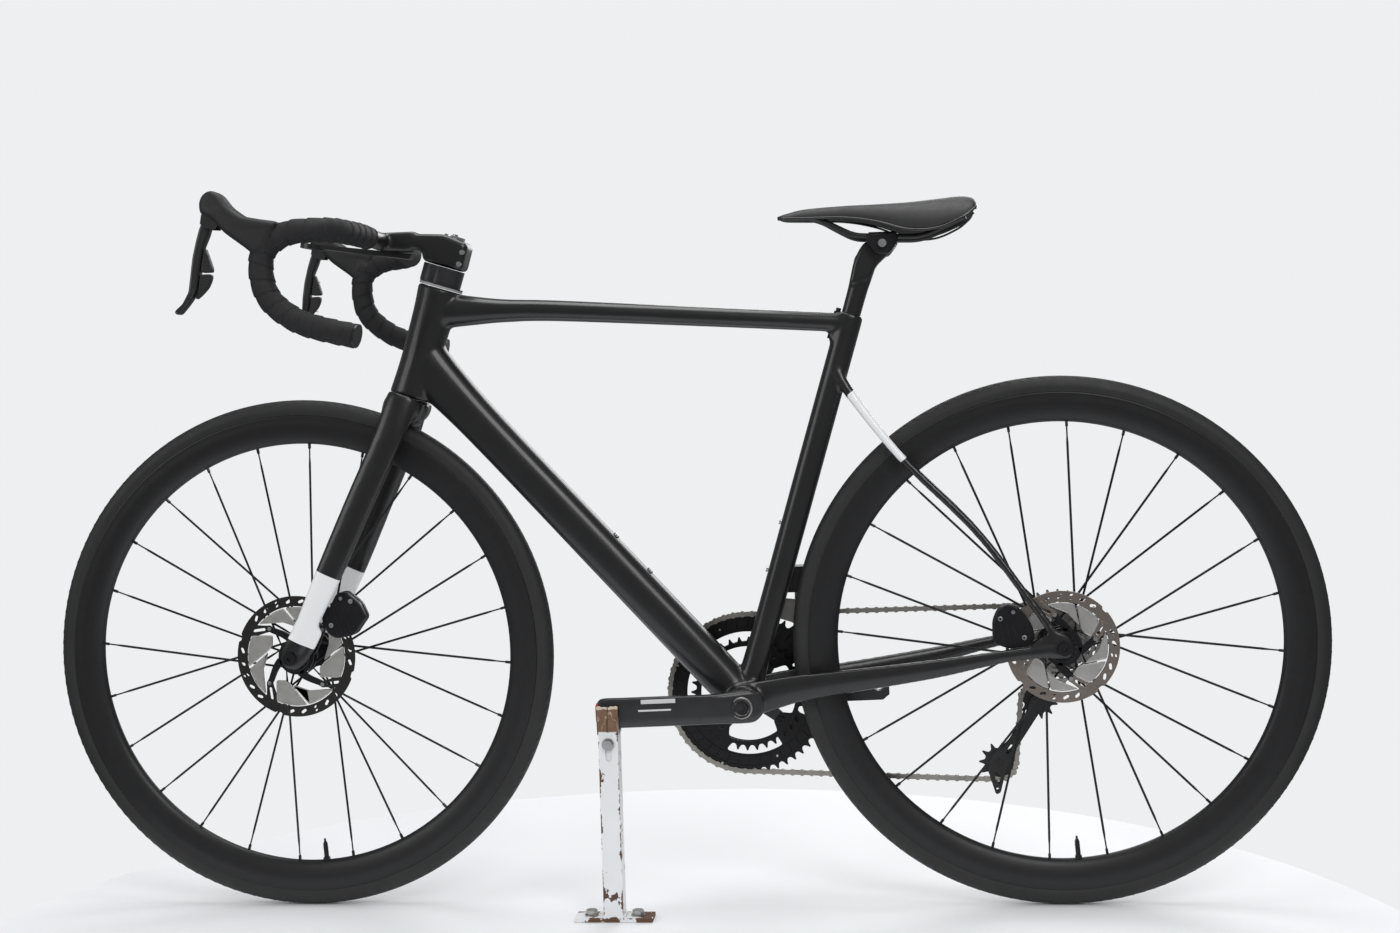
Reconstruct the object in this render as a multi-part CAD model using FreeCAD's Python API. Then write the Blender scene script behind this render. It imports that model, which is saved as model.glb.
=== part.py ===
import FreeCAD, Part
import math
import os

# Road bicycle held at its left crank arm by a small post stand.
# Millimetres.  +X points forward, +Y to the rider's left, +Z up.  The origin is on the ground, midway
# between the two axles.  Each sub-part goes to parts/NODE.step.

V = FreeCAD.Vector

# ---- overall layout
WHEELBASE = 993.0
TYRE_OUTER_R = 338.5
BB_X = -94.4                  # bottom bracket axis, from mid wheelbase
BB_Z = 269.0
HEAD_ANGLE = 72.0             # degrees from the ground
FORK_RAKE = 45.0
SEAT_ANGLE = 73.1
HEAD_LOW_Z = 676.0            # lower end of the head tube on the steering axis
HEAD_LENGTH = 149.3
CLEAR = 0.05                  # radial running clearance of shafts in bores
GAP = 0.3                     # gap between parts that pass each other

# ---- wheels
TYRE_WIDTH = 28.0
TYRE_WALL = 2.2
RIM_BEAD_R = 316.0
RIM_DEPTH = 36.0
RIM_WIDTH = 26.0
RIM_WALL = 1.5
SPOKE_COUNT = 24
SPOKE_R = 0.9
FLANGE_R = 24.0
SPOKE_HEAD_R = 21.5
AXLE_R = 6.0
FRONT_OLD = 100.0             # distance between the dropout faces
REAR_OLD = 142.0
DROPOUT_T = 8.0
VALVE_ANGLE = -94.0           # degrees round the axle, 0 forward, 90 up
VALVE_R = 3.0
VALVE_LENGTH = 24.0

# ---- brakes
DISC_T = 1.8
FRONT_DISC_R = 80.0
REAR_DISC_R = 70.0
DISC_TRACK = 14.0
DISC_INSET = 15.3             # disc centre, inboard of the dropout face
PAD_T = 2.0
PAD_GAP = 0.3
DISC_SLOTS = 22

# ---- drivetrain
PITCH = 12.7
ROLLER_R = 3.85
OUTER_TEETH = 52
INNER_TEETH = 36
COG_TEETH = [11, 12, 13, 14, 15, 16, 17, 19, 21, 24, 27, 30]
DRIVE_COG = 21
PULLEY_TEETH = 11
TOOTH_T = 1.4
TOOTH_H = 3.2
COG_PITCH = 3.56
SMALL_COG_Y = -63.4
OUTER_RING_Y = -47.0
INNER_RING_Y = -39.5
CRANK_LENGTH = 172.5
CRANK_DROOP = 1.6             # degrees the left arm points below level
CRANK_INNER_Y = 62.5          # inner face of an arm at its pedal end
CRANK_OUTER_Y = 77.0
CRANK_END_H = 38.5
CRANK_BB_H = 42.0
SPINDLE_R = 12.0
SPINDLE_BORE_R = 9.5
BB_SHELL_R = 23.5
BB_SHELL_HALF = 41.0
BB_BEARING_R = 19.0
BB_BEARING_W = 8.0
PEDAL_THREAD_R = 7.14
RING_BOLT_R = 4.0
RING_BCD_R = 55.0

# ---- frame tubes: half depth and half width
WALL = 1.6
HEAD_TOP_R = 29.7
HEAD_MID_R = 26.0
HEAD_LOW_R = 28.0
UPPER_BEARING_R = 26.0
LOWER_BEARING_R = 23.5
BEARING_H = 7.0
STEERER_R = 14.3
STEERER_LOW_R = 15.9
HEAD_BORE_R = 20.0
DOWN_HALF = 27.0
DOWN_WIDTH = 24.0
SEAT_HALF = 16.4
SEAT_WIDTH = 15.5
POST_HALF = 12.6              # seatpost section
POST_WIDTH = 10.4
POST_FIT = 0.1
POST_INSERT = 150.0
POST_TOP_Z = 765.0            # top of the seat tube

# ---- cockpit
STACK_H = 28.0
STEM_H = 36.0
BAR_R = 12.0
BAR_WALL = 2.0
TAPE_R = 15.6
BAR_X = 368.0
BAR_Z = 881.0
BAR_HALF = 192.0
LEVER_PIVOT = (527.0, 890.0)

# ---- saddle
SADDLE_HALF = 70.0
RAIL_R = 3.5
RAIL_Y = 22.0
CLAMP_BOLT = (-287.0, 851.0)

# ---- stand
STAND_X = 75.6
TUBE = 25.0
TUBE_WALL = 2.5
PLATE_T = 5.0
PLATE_LENGTH = 100.0
PLATE_WIDTH = 30.0
ANCHOR_SPACING = 60.0
ANCHOR_R = 4.5
LINING_T = 2.5
CUP_WALL = 3.0
CUP_WIDTH = 27.0
CUP_RISE = 30.0
STEM_FIT = 0.1
STEM_LENGTH = 205.0
SLOT_LENGTH = 18.0            # height by which the clamp bolt's slot lets the fork be set
BOLT_DROP = 12.0
STAND_BOLT_R = 4.0

# ---- worked out from the values above
AXLE_Z = TYRE_OUTER_R
FRONT_X = WHEELBASE / 2
REAR_X = -WHEELBASE / 2
HEAD_RAD = math.radians(HEAD_ANGLE)
STEER_UP = V(-math.cos(HEAD_RAD), 0, math.sin(HEAD_RAD))
STEER_FWD = V(math.sin(HEAD_RAD), 0, math.cos(HEAD_RAD))
AXIS_FOOT = V(FRONT_X, 0, AXLE_Z) - STEER_FWD * FORK_RAKE
HEAD_LOW = AXIS_FOOT + STEER_UP * ((HEAD_LOW_Z - AXIS_FOOT.z) / STEER_UP.z)
HEAD_TOP = HEAD_LOW + STEER_UP * HEAD_LENGTH
SEAT_RAD = math.radians(SEAT_ANGLE)
SEAT_UP = V(-math.cos(SEAT_RAD), 0, math.sin(SEAT_RAD))
SEAT_FWD = V(math.sin(SEAT_RAD), 0, math.cos(SEAT_RAD))
BB = V(BB_X, 0, BB_Z)
SEAT_TOP = BB + SEAT_UP * ((POST_TOP_Z - BB_Z) / SEAT_UP.z)
DRIVE_Y = SMALL_COG_Y + COG_PITCH * COG_TEETH.index(DRIVE_COG)
FRONT_DISC_Y = FRONT_OLD / 2 - DISC_INSET
REAR_DISC_Y = REAR_OLD / 2 - DISC_INSET
GUIDE = V(REAR_X + 23.5, DRIVE_Y, AXLE_Z - 81.0)
PULLEY_REACH = 97.0
os.makedirs("parts", exist_ok=True)


# ---- small shape helpers
def save(node, *shapes):
    """Write one node, a solid or a group of separate solids."""
    solids = [s for shape in shapes for s in shape.Solids]
    shape = solids[0] if len(solids) == 1 else Part.makeCompound(solids)
    shape.exportStep("parts/" + node + ".step")


def cyl(start, end, radius):
    """Round bar between two points."""
    axis = end - start
    return Part.makeCylinder(radius, axis.Length, start, axis)


def cyl_y(x, z, y0, y1, radius):
    """Round bar along Y."""
    return Part.makeCylinder(radius, y1 - y0, V(x, y0, z), V(0, 1, 0))


def ring_y(x, z, y0, y1, outer, inner):
    """Round bar along Y with a bore."""
    return cyl_y(x, z, y0, y1, outer).cut(cyl_y(x, z, y0 - 1, y1 + 1, inner))


def block(x0, x1, y0, y1, z0, z1):
    """Block between three pairs of limits."""
    return Part.makeBox(x1 - x0, y1 - y0, z1 - z0, V(x0, y0, z0))


def prism_y(points, y0, y1):
    """Flat outline in XZ, extruded from y0 to y1."""
    corners = [V(x, y0, z) for x, z in points]
    face = Part.Face(Part.makePolygon(corners + [corners[0]]))
    return face.extrude(V(0, y1 - y0, 0))


def lathe_y(points, x, z):
    """Outline of (radius, y) points turned about the Y axis through x, z."""
    corners = [V(x + r, y, z) for r, y in points]
    face = Part.Face(Part.makePolygon(corners + [corners[0]]))
    return face.revolve(V(x, 0, z), V(0, 1, 0), 360)


def mirrored(shape):
    """The same shape on the other side of the middle plane."""
    return shape.mirror(V(0, 0, 0), V(0, 1, 0))


def section(centre, along, half_depth, half_width):
    """Oval ring across a tube that runs along a direction near the XZ plane."""
    along = V(along)
    along.normalize()
    side = V(0, 1, 0) - along * along.y
    side.normalize()
    deep = side.cross(along)
    major, minor, major_dir = half_depth, half_width, deep
    if half_width > half_depth:
        major, minor, major_dir = half_width, half_depth, side
    major = max(major, minor + 0.01)
    turn = FreeCAD.Rotation(major_dir, along.cross(major_dir), along, "XYZ")
    oval = Part.Ellipse(V(0, 0, 0), major, minor).toShape()
    oval.Placement = FreeCAD.Placement(V(centre), turn)
    return Part.Wire(oval)


def loft(stations, shrink=0.0):
    """Tube through (centre, direction, half depth, half width) stations."""
    wires = [section(c, d, a - shrink, b - shrink) for c, d, a, b in stations]
    return Part.makeLoft(wires, True, False)


def rounded_path(points):
    """Straight runs joined by tangent arcs, each as large as its runs allow."""
    points = [V(*p) for p in points]
    edges = []
    last = points[0]
    for a, b, c in zip(points, points[1:], points[2:]):
        into = b - a
        out = c - b
        turn = into.getAngle(out)
        reach = 0.45 * min(into.Length, out.Length)
        into.normalize()
        out.normalize()
        start = b - into * reach
        end = b + out * reach
        bend = out - into
        bend.normalize()
        radius = reach / math.tan(turn / 2)
        middle = b + bend * (radius / math.cos(turn / 2) - radius)
        edges.append(Part.LineSegment(last, start).toShape())
        edges.append(Part.Arc(start, middle, end).toShape())
        last = end
    edges.append(Part.LineSegment(last, points[-1]).toShape())
    return Part.Wire(edges)


def pipe(points, radius):
    """Round rod along a rounded path."""
    path = rounded_path(points)
    first = V(*points[0])
    along = V(*points[1]) - first
    disc = Part.Wire(Part.makeCircle(radius, first, along))
    return path.makePipeShell([disc], True, True)


def polar(x, z, radius, degrees):
    """Point at a radius and angle from x, z in the XZ plane."""
    angle = math.radians(degrees)
    return x + radius * math.cos(angle), z + radius * math.sin(angle)


def pitch_radius(teeth):
    """Radius of the circle on which a chain's rollers lie."""
    return PITCH / 2 / math.sin(math.pi / teeth)


def gear(teeth, x, z, y, thickness, phase, bore):
    """Sprocket whose first tooth gap lies at the angle phase, in degrees."""
    radius = pitch_radius(teeth)
    gap_r = ROLLER_R + 0.15
    step = 360.0 / teeth
    tip_half = math.degrees(0.9 / (radius + TOOTH_H))
    edges = []
    corners = []
    for k in range(teeth):
        at = phase + k * step
        gx, gz = polar(0, 0, radius, at)
        arc = [V(*polar(gx, gz, gap_r, at + 180 - s), 0) for s in (-68, 0, 68)]
        tips = [V(*polar(0, 0, radius + TOOTH_H, at + step / 2 + s), 0) for s in (-tip_half, tip_half)]
        corners.append((arc[0], arc[1], arc[2], tips))
    for k in range(teeth):
        start, middle, end, tips = corners[k]
        following = corners[(k + 1) % teeth][0]
        edges.append(Part.Arc(start, middle, end).toShape())
        edges.append(Part.LineSegment(end, tips[0]).toShape())
        edges.append(Part.LineSegment(tips[0], tips[1]).toShape())
        edges.append(Part.LineSegment(tips[1], following).toShape())
    blank = Part.Face(Part.Wire(edges)).extrude(V(0, 0, thickness))
    blank = blank.cut(Part.makeCylinder(bore, thickness + 2, V(0, 0, -1)))
    blank.rotate(V(0, 0, 0), V(1, 0, 0), 90)
    blank.translate(V(x, y + thickness / 2, z))
    return blank


# ---- wheels
def tyre(x):
    """Open tyre casing that sits on the rim."""
    centre_r = TYRE_OUTER_R - TYRE_WIDTH / 2
    casing = Part.makeTorus(centre_r, TYRE_WIDTH / 2, V(x, 0, AXLE_Z), V(0, 1, 0))
    casing = casing.cut(Part.makeTorus(centre_r, TYRE_WIDTH / 2 - TYRE_WALL, V(x, 0, AXLE_Z), V(0, 1, 0)))
    return casing.cut(cyl_y(x, AXLE_Z, -TYRE_WIDTH, TYRE_WIDTH, RIM_BEAD_R))


def rim_outline(inset):
    """Half of a deep rim's section as (radius, y) points, moved in by a wall."""
    half = RIM_WIDTH / 2 - inset
    top = RIM_BEAD_R - inset
    low = RIM_BEAD_R - RIM_DEPTH + inset
    return [(top, half), (top - 12, half), (low + 8, half * 0.62), (low + 2, half * 0.36), (low, 3 - inset / 2)]


def rim(x):
    """Hollow deep rim with its valve hole."""
    def turned(inset):
        side = rim_outline(inset)
        return lathe_y(side + [(r, -y) for r, y in reversed(side)], x, AXLE_Z)
    hoop = turned(0).cut(turned(RIM_WALL))
    return hoop.cut(valve_bar(x, VALVE_R + CLEAR, 2 * RIM_DEPTH))


def valve_bar(x, radius, length):
    """Round bar along the valve's line, from the tyre's inside towards the axle."""
    outer = polar(x, AXLE_Z, RIM_BEAD_R + 2, VALVE_ANGLE)
    inner = polar(x, AXLE_Z, RIM_BEAD_R + 2 - length, VALVE_ANGLE)
    return cyl(V(outer[0], 0, outer[1]), V(inner[0], 0, inner[1]), radius)


def valve(x):
    """Valve stem through the rim, with its foot and cap."""
    stem = valve_bar(x, VALVE_R, RIM_DEPTH + VALVE_LENGTH)
    foot = valve_bar(x, VALVE_R + 2, 1.9)
    return stem.fuse(foot)


def spokes(x, left_y, right_y):
    """Crossed spokes from the two flanges to the rim, each a separate solid."""
    bars = []
    rim_r = RIM_BEAD_R - RIM_DEPTH - 0.02
    for k in range(SPOKE_COUNT):
        at = VALVE_ANGLE + 180 / SPOKE_COUNT + k * 360 / SPOKE_COUNT
        left = k % 2 == 0
        lean = 60 if (k // 2) % 2 == 0 else -60
        flange_y = left_y if left else right_y
        shift = 1.6 if lean > 0 else -1.6
        hx, hz = polar(x, AXLE_Z, SPOKE_HEAD_R, at + lean)
        rx, rz = polar(x, AXLE_Z, rim_r, at)
        bars.append(cyl(V(hx, flange_y + shift, hz), V(rx, 1.5 if left else -1.5, rz), SPOKE_R))
    return bars


def hub(x, half_old, left_y, right_y, disc_y, body_r):
    """Hub shell with two flanges, the disc seat and a bore for the axle."""
    end = half_old - CLEAR
    bore = AXLE_R + CLEAR
    disc_seat = disc_y + DISC_T / 2 + 1
    outline = [(bore, -end), (9.5, -end), (9.5, right_y - 6), (body_r, right_y - 5),
               (FLANGE_R, right_y - 3), (FLANGE_R, right_y + 3), (body_r, right_y + 6),
               (body_r, left_y - 6), (FLANGE_R, left_y - 3), (FLANGE_R, left_y + 3),
               (17.0, left_y + 5), (17.0, disc_seat), (9.5, disc_seat), (9.5, end), (bore, end)]
    shell = lathe_y(outline, x, AXLE_Z)
    return shell.cut(Part.makeCompound(spokes(x, left_y, right_y)))


def disc(x, y, outer_r, phase):
    """Brake disc: a slotted steel track on a four-arm carrier."""
    low = y - DISC_T / 2
    high = y + DISC_T / 2
    track = ring_y(x, AXLE_Z, low, high, outer_r, outer_r - DISC_TRACK)
    holes = []
    for k in range(DISC_SLOTS):
        at = phase + k * 360 / DISC_SLOTS
        cx, cz = polar(x, AXLE_Z, outer_r - DISC_TRACK / 2 + (2.2 if k % 2 else -2.2), at)
        holes.append(cyl_y(cx, cz, low - 1, high + 1, 2.1))
    track = track.cut(Part.makeCompound(holes))
    carrier = ring_y(x, AXLE_Z, low, high, 22, 17.0 + CLEAR)
    for k in range(4):
        tip = polar(x, AXLE_Z, outer_r - DISC_TRACK + 4, phase + k * 90)
        root = polar(x, AXLE_Z, 20, phase + k * 90 - 38)
        slope = V(tip[0] - root[0], 0, tip[1] - root[1])
        side = V(slope.z, 0, -slope.x)
        side.normalize()
        corners = [(root[0] + side.x * 6, root[1] + side.z * 6), (tip[0] + side.x * 4, tip[1] + side.z * 4),
                   (tip[0] - side.x * 4, tip[1] - side.z * 4), (root[0] - side.x * 6, root[1] - side.z * 6)]
        carrier = carrier.fuse(prism_y(corners, low, high))
    limit = ring_y(x, AXLE_Z, low, high, outer_r - DISC_TRACK - CLEAR, 17.0 + CLEAR)
    return [track, carrier.common(limit)]


def wheel(name, x, old, left_y, right_y, disc_y, disc_r, disc_phase, body_r):
    """All nodes of one wheel."""
    save(name + "_tyre", tyre(x))
    save(name + "_rim", rim(x), valve(x))
    save(name + "_spokes", *spokes(x, left_y, right_y))
    save(name + "_hub", hub(x, old / 2, left_y, right_y, disc_y, body_r))
    save(name + "_brake_disc", *disc(x, disc_y, disc_r, disc_phase))


def axle(x, old, outer):
    """Through axle with a flanged head on the left."""
    rod = cyl_y(x, AXLE_Z, -outer, outer, AXLE_R)
    head = cyl_y(x, AXLE_Z, outer, outer + 2.5, 8.5)
    socket = cyl_y(x, AXLE_Z, outer - 4, outer + 3, 3.0)
    return rod.fuse(head).cut(socket)


# ---- frame
def path_dir(points, k):
    """Direction of a route at its point k."""
    before = V(*points[max(k - 1, 0)])
    after = V(*points[min(k + 1, len(points) - 1)])
    return after - before


def tube(points, depths, widths, shrink=0.0):
    """Lofted tube along a short route with its half depths and half widths."""
    stations = [(p, path_dir(points, k), depths[k], widths[k]) for k, p in enumerate(points)]
    return loft(stations, shrink)


def line_point(start, direction, length):
    """Coordinates of the point at a length along a line."""
    p = start + direction * length
    return p.x, p.y, p.z


def head_tube(shrink=0.0):
    rise = [0, 0.3 * HEAD_LENGTH, 0.75 * HEAD_LENGTH, HEAD_LENGTH]
    sizes = [HEAD_LOW_R, HEAD_MID_R, HEAD_MID_R + 1, HEAD_TOP_R]
    stations = [(HEAD_LOW + STEER_UP * h, STEER_UP, r, r - 0.5) for h, r in zip(rise, sizes)]
    return loft(stations, shrink)


TOP_ROUTE = [(290.0, 0, 789.0), (235.0, 0, 786.5), (135.0, 0, 782.6), (-60.0, 0, 767.7), (-235.0, 0, 754.0)]
TOP_DEPTHS = [22.0, 16.0, 13.7, 12.6, 12.2]
TOP_WIDTHS = [22.0, 20.0, 18.5, 16.0, 13.5]
DOWN_DIR = V(math.cos(math.radians(47.7)), 0, math.sin(math.radians(47.7)))


def down_stations():
    """Down tube from the bottom bracket to the head tube."""
    lengths = [6.0, 60.0, 250.0, 480.0, 608.0]
    depths = [25.0, DOWN_HALF, DOWN_HALF, DOWN_HALF, 29.0]
    widths = [30.0, 26.0, DOWN_WIDTH, DOWN_WIDTH - 2, DOWN_WIDTH - 2]
    start = BB + V(3, 0, 0)
    return [(line_point(start, DOWN_DIR, s), DOWN_DIR, d, w) for s, d, w in zip(lengths, depths, widths)]


def seat_stations():
    """Seat tube from the bottom bracket to its open top."""
    length = (SEAT_TOP - BB).Length
    lengths = [4.0, 90.0, 0.6 * length, length]
    depths = [19.0, SEAT_HALF, SEAT_HALF, SEAT_HALF]
    widths = [24.0, 17.0, SEAT_WIDTH, SEAT_WIDTH]
    return [(line_point(BB, SEAT_UP, s), SEAT_UP, d, w) for s, d, w in zip(lengths, depths, widths)]


def seat_bar(half_depth, half_width, low, high):
    """Bar of the seatpost's section between two heights on the seat tube line."""
    stations = [(SEAT_TOP + SEAT_UP * low, SEAT_UP, half_depth, half_width),
                (SEAT_TOP + SEAT_UP * high, SEAT_UP, half_depth, half_width)]
    return loft(stations)


def along_seat(forward, y0, y1, low, depth, height):
    """Block lying along the seat tube: how far forward it starts, its sides and height."""
    solid = Part.makeBox(depth, y1 - y0, height, V(0, y0, 0))
    turn = FreeCAD.Rotation(V(0, 1, 0), SEAT_ANGLE - 90)
    solid.Placement = FreeCAD.Placement(SEAT_TOP + SEAT_UP * low + SEAT_FWD * forward, turn)
    return solid


WEDGE_DEPTH = 9.0
WEDGE_HALF = 6.0
WEDGE_LOW = -38.0
WEDGE_H = 34.0
BOSS_R = 2.5
BOSS_RIM = 1.8                # how far a boss bolt's head stands past its shank
BOSS_PLACES = [("down", 205.0), ("down", 269.0), ("seat", 172.0), ("seat", 236.0)]


def boss_bolt(kind, length, radius, inner, outer):
    """Round bar across a tube wall at a bottle cage boss."""
    if kind == "down":
        base = BB + V(3, 0, 0) + DOWN_DIR * length
        normal = V(-DOWN_DIR.z, 0, DOWN_DIR.x)
        half = DOWN_HALF
    else:
        base = BB + SEAT_UP * length
        normal = SEAT_FWD
        half = SEAT_HALF
    return cyl(base + normal * (half - inner), base + normal * (half + outer), radius)


def main_frame():
    """Hollow front triangle with the bottom bracket shell."""
    bb_shell = cyl_y(BB_X, BB_Z, -BB_SHELL_HALF, BB_SHELL_HALF, BB_SHELL_R)
    solid = head_tube()
    for tube_shape in (tube(TOP_ROUTE, TOP_DEPTHS, TOP_WIDTHS), loft(down_stations()), loft(seat_stations()), bb_shell):
        solid = solid.fuse(tube_shape)
    bump = along_seat(POST_HALF, -10, 10, WEDGE_LOW - 6, WEDGE_DEPTH + 9, -WEDGE_LOW + 4)
    solid = solid.fuse(bump)
    below_head = Part.makeCylinder(60, 60, HEAD_LOW, STEER_UP * -1)
    above_head = Part.makeCylinder(60, 60, HEAD_TOP, STEER_UP)
    above_seat = along_seat(-40, -30, 30, 0, 80, 40)
    solid = solid.cut(below_head).cut(above_head).cut(above_seat)
    inner_top = [(260.0, 0, 787.5), (135.0, 0, 782.6), (-60.0, 0, 767.7), (-195.0, 0, 757.1)]
    hollow_top = tube(inner_top, [14.0, 13.7, 12.6, 12.2], [20.0, 18.5, 16.0, 13.8], WALL)
    hollow_down = loft(down_stations()[1:4], WALL)
    seat_hollow = seat_bar(POST_HALF + POST_FIT, POST_WIDTH + POST_FIT, -(SEAT_TOP - BB).Length + 50, 1)
    wedge_room = along_seat(POST_HALF - 2, -WEDGE_HALF - POST_FIT, WEDGE_HALF + POST_FIT, WEDGE_LOW,
                            WEDGE_DEPTH + 2 + POST_FIT, -WEDGE_LOW + 30)
    steer_bore = Part.makeCylinder(HEAD_BORE_R, HEAD_LENGTH + 2, HEAD_LOW - STEER_UP, STEER_UP)
    lower_seat = Part.makeCylinder(LOWER_BEARING_R, BEARING_H + 1, HEAD_LOW - STEER_UP, STEER_UP)
    upper_seat = Part.makeCylinder(UPPER_BEARING_R, BEARING_H + 1, HEAD_TOP - STEER_UP * BEARING_H, STEER_UP)
    bb_bore = cyl_y(BB_X, BB_Z, -BB_SHELL_HALF - 1, BB_SHELL_HALF + 1, BB_BEARING_R)
    solid = solid.cut(hollow_top)
    for room in (hollow_down, seat_hollow, wedge_room, steer_bore, lower_seat, upper_seat, bb_bore):
        solid = solid.cut(room)
    for kind, length in BOSS_PLACES:
        solid = solid.cut(boss_bolt(kind, length, BOSS_R, 6, 3)).cut(boss_bolt(kind, length, BOSS_R + BOSS_RIM, 0, 3))
    return solid


def headset_bearings():
    lower = Part.makeCylinder(LOWER_BEARING_R, BEARING_H, HEAD_LOW, STEER_UP)
    lower = lower.cut(Part.makeCylinder(STEERER_LOW_R + CLEAR, BEARING_H + 2, HEAD_LOW - STEER_UP, STEER_UP))
    base = HEAD_TOP - STEER_UP * BEARING_H
    upper = Part.makeCylinder(UPPER_BEARING_R, BEARING_H, base, STEER_UP)
    upper = upper.cut(Part.makeCylinder(STEERER_R + CLEAR, BEARING_H + 2, base - STEER_UP, STEER_UP))
    return [lower, upper]


def bb_bearings():
    low = BB_SHELL_HALF - BB_BEARING_W
    left = ring_y(BB_X, BB_Z, low, BB_SHELL_HALF, BB_BEARING_R, SPINDLE_R + CLEAR)
    return [left, mirrored(left)]


CHAIN_STAY = [(-105.0, 27.0, 271.0), (-160.0, 28.0, 285.5), (-212.0, 33.0, 293.0), (-330.0, 55.0, 311.5),
              (-425.0, 72.5, 330.0), (-480.0, 77.5, 336.0)]
SEAT_STAY = [(-226.0, 9.0, 690.0), (-240.0, 15.0, 664.0), (-302.0, 27.5, 581.0), (-393.0, 48.0, 486.0),
             (-455.0, 67.0, 401.0), (-487.0, 76.5, 353.0)]
DROPOUT_R = 15.0


def chain_stays(frame):
    """Both chain stays with the dropouts, against the bottom bracket shell."""
    left = tube(CHAIN_STAY, [24.0, 19.0, 16.0, 12.5, 8.5, 8.0], [9.0, 7.5, 7.5, 7.5, 5.5, 4.6])
    inner = REAR_OLD / 2
    left = left.fuse(cyl_y(REAR_X, AXLE_Z, inner, inner + DROPOUT_T, DROPOUT_R))
    left = left.fuse(prism_y([(-470, 330), (-470, 344), (-496, 352), (-496, 326)], inner + 1, inner + DROPOUT_T - 1))
    hole = cyl_y(REAR_X, AXLE_Z, 60, 90, AXLE_R + CLEAR)
    left = left.cut(hole)
    both = left.fuse(mirrored(left))
    tyre_room = cyl_y(REAR_X, AXLE_Z, -20, 20, TYRE_OUTER_R + 8)
    axle_room = cyl_y(REAR_X, AXLE_Z, -inner, inner, DROPOUT_R + 3)
    return [s for s in both.cut(tyre_room).cut(axle_room).cut(outer_frame(frame)).Solids if s.Volume > 2000]


def outer_frame(frame):
    """The front triangle with its hollows filled near the stays."""
    fill = cyl_y(BB_X, BB_Z, -BB_SHELL_HALF, BB_SHELL_HALF, BB_SHELL_R)
    return frame.fuse(fill).fuse(loft(seat_stations()))


def seat_stays(frame, lower):
    """Both seat stays, from the seat tube to the dropouts."""
    left = tube(SEAT_STAY, [8.0, 7.0, 5.6, 5.2, 5.0, 6.0], [8.0, 7.0, 6.0, 5.5, 5.0, 4.2])
    both = left.fuse(mirrored(left))
    tyre_room = cyl_y(REAR_X, AXLE_Z, -19, 19, TYRE_OUTER_R + 8)
    both = both.cut(tyre_room).cut(outer_frame(frame))
    return [s for s in both.cut(Part.makeCompound(lower)).Solids if s.Volume > 2000]


# ---- fork
LEG = [((349.0, 31.0, 660.0), 21.0, 11.0), ((363.0, 39.5, 618.0), 19.5, 9.5), ((401.0, 46.0, 537.0), 19.0, 8.0),
       ((440.0, 51.5, 453.0), 18.0, 7.6), ((482.0, 55.5, 368.0), 14.5, 6.0)]
CROWN = [(322.0, 664.0), (319.0, 655.0), (330.0, 644.0), (352.0, 636.0), (374.0, 647.0), (371.0, 664.0), (366.0, 690.0)]
SEAL_GAP = 0.5


def fork():
    """Crown, two legs, dropouts and the steerer tube as one piece."""
    route = [p for p, d, w in LEG]
    leg = tube(route, [d for p, d, w in LEG], [w for p, d, w in LEG])
    inner = FRONT_OLD / 2
    leg = leg.fuse(cyl_y(FRONT_X, AXLE_Z, inner, inner + 10, 14))
    leg = leg.fuse(prism_y([(470, 375), (496, 375), (506, 345), (487, 333)], inner + 0.5, inner + 9))
    crown = prism_y(CROWN, -38, 38)
    body = crown.fuse(leg).fuse(mirrored(leg))
    tyre_room = cyl_y(FRONT_X, AXLE_Z, -19, 19, TYRE_OUTER_R + 6)
    body = body.cut(tyre_room)
    race = HEAD_LOW - STEER_UP * SEAL_GAP
    body = body.fuse(Part.makeCylinder(LOWER_BEARING_R, 14, race, STEER_UP * -1))
    body = body.cut(Part.makeCylinder(60, 60, race, STEER_UP))
    body = body.cut(cyl_y(FRONT_X, AXLE_Z, -inner, inner, 15))
    low = Part.makeCylinder(STEERER_LOW_R, 24, race - STEER_UP * 6, STEER_UP)
    up = Part.makeCylinder(STEERER_R, HEAD_LENGTH + STACK_H + STEM_H + 4, race - STEER_UP * 6, STEER_UP)
    body = body.fuse(low).fuse(up)
    body = body.cut(Part.makeCylinder(STEERER_R - 2.5, HEAD_LENGTH + 200, race, STEER_UP))
    return body.cut(cyl_y(FRONT_X, AXLE_Z, -80, 80, AXLE_R + CLEAR))


def steer_outline(points, y0, y1):
    """Prism from (forward, height) points measured on the steering axis above the head tube."""
    flat = []
    for forward, height in points:
        p = HEAD_TOP + STEER_FWD * forward + STEER_UP * height
        flat.append((p.x, p.z))
    return prism_y(flat, y0, y1)


def steer_oval(low, high):
    """Oblong spacer between two heights above the head tube."""
    outer = Part.makeCylinder(22, high - low, HEAD_TOP + STEER_UP * low - STEER_FWD * 3, STEER_UP)
    nose = Part.makeCylinder(20, high - low, HEAD_TOP + STEER_UP * low + STEER_FWD * 10, STEER_UP)
    bore = Part.makeCylinder(STEERER_R + CLEAR, high - low + 2, HEAD_TOP + STEER_UP * (low - 1), STEER_UP)
    return outer.fuse(nose).removeSplitter().cut(bore)


SPACERS = 4


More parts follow.
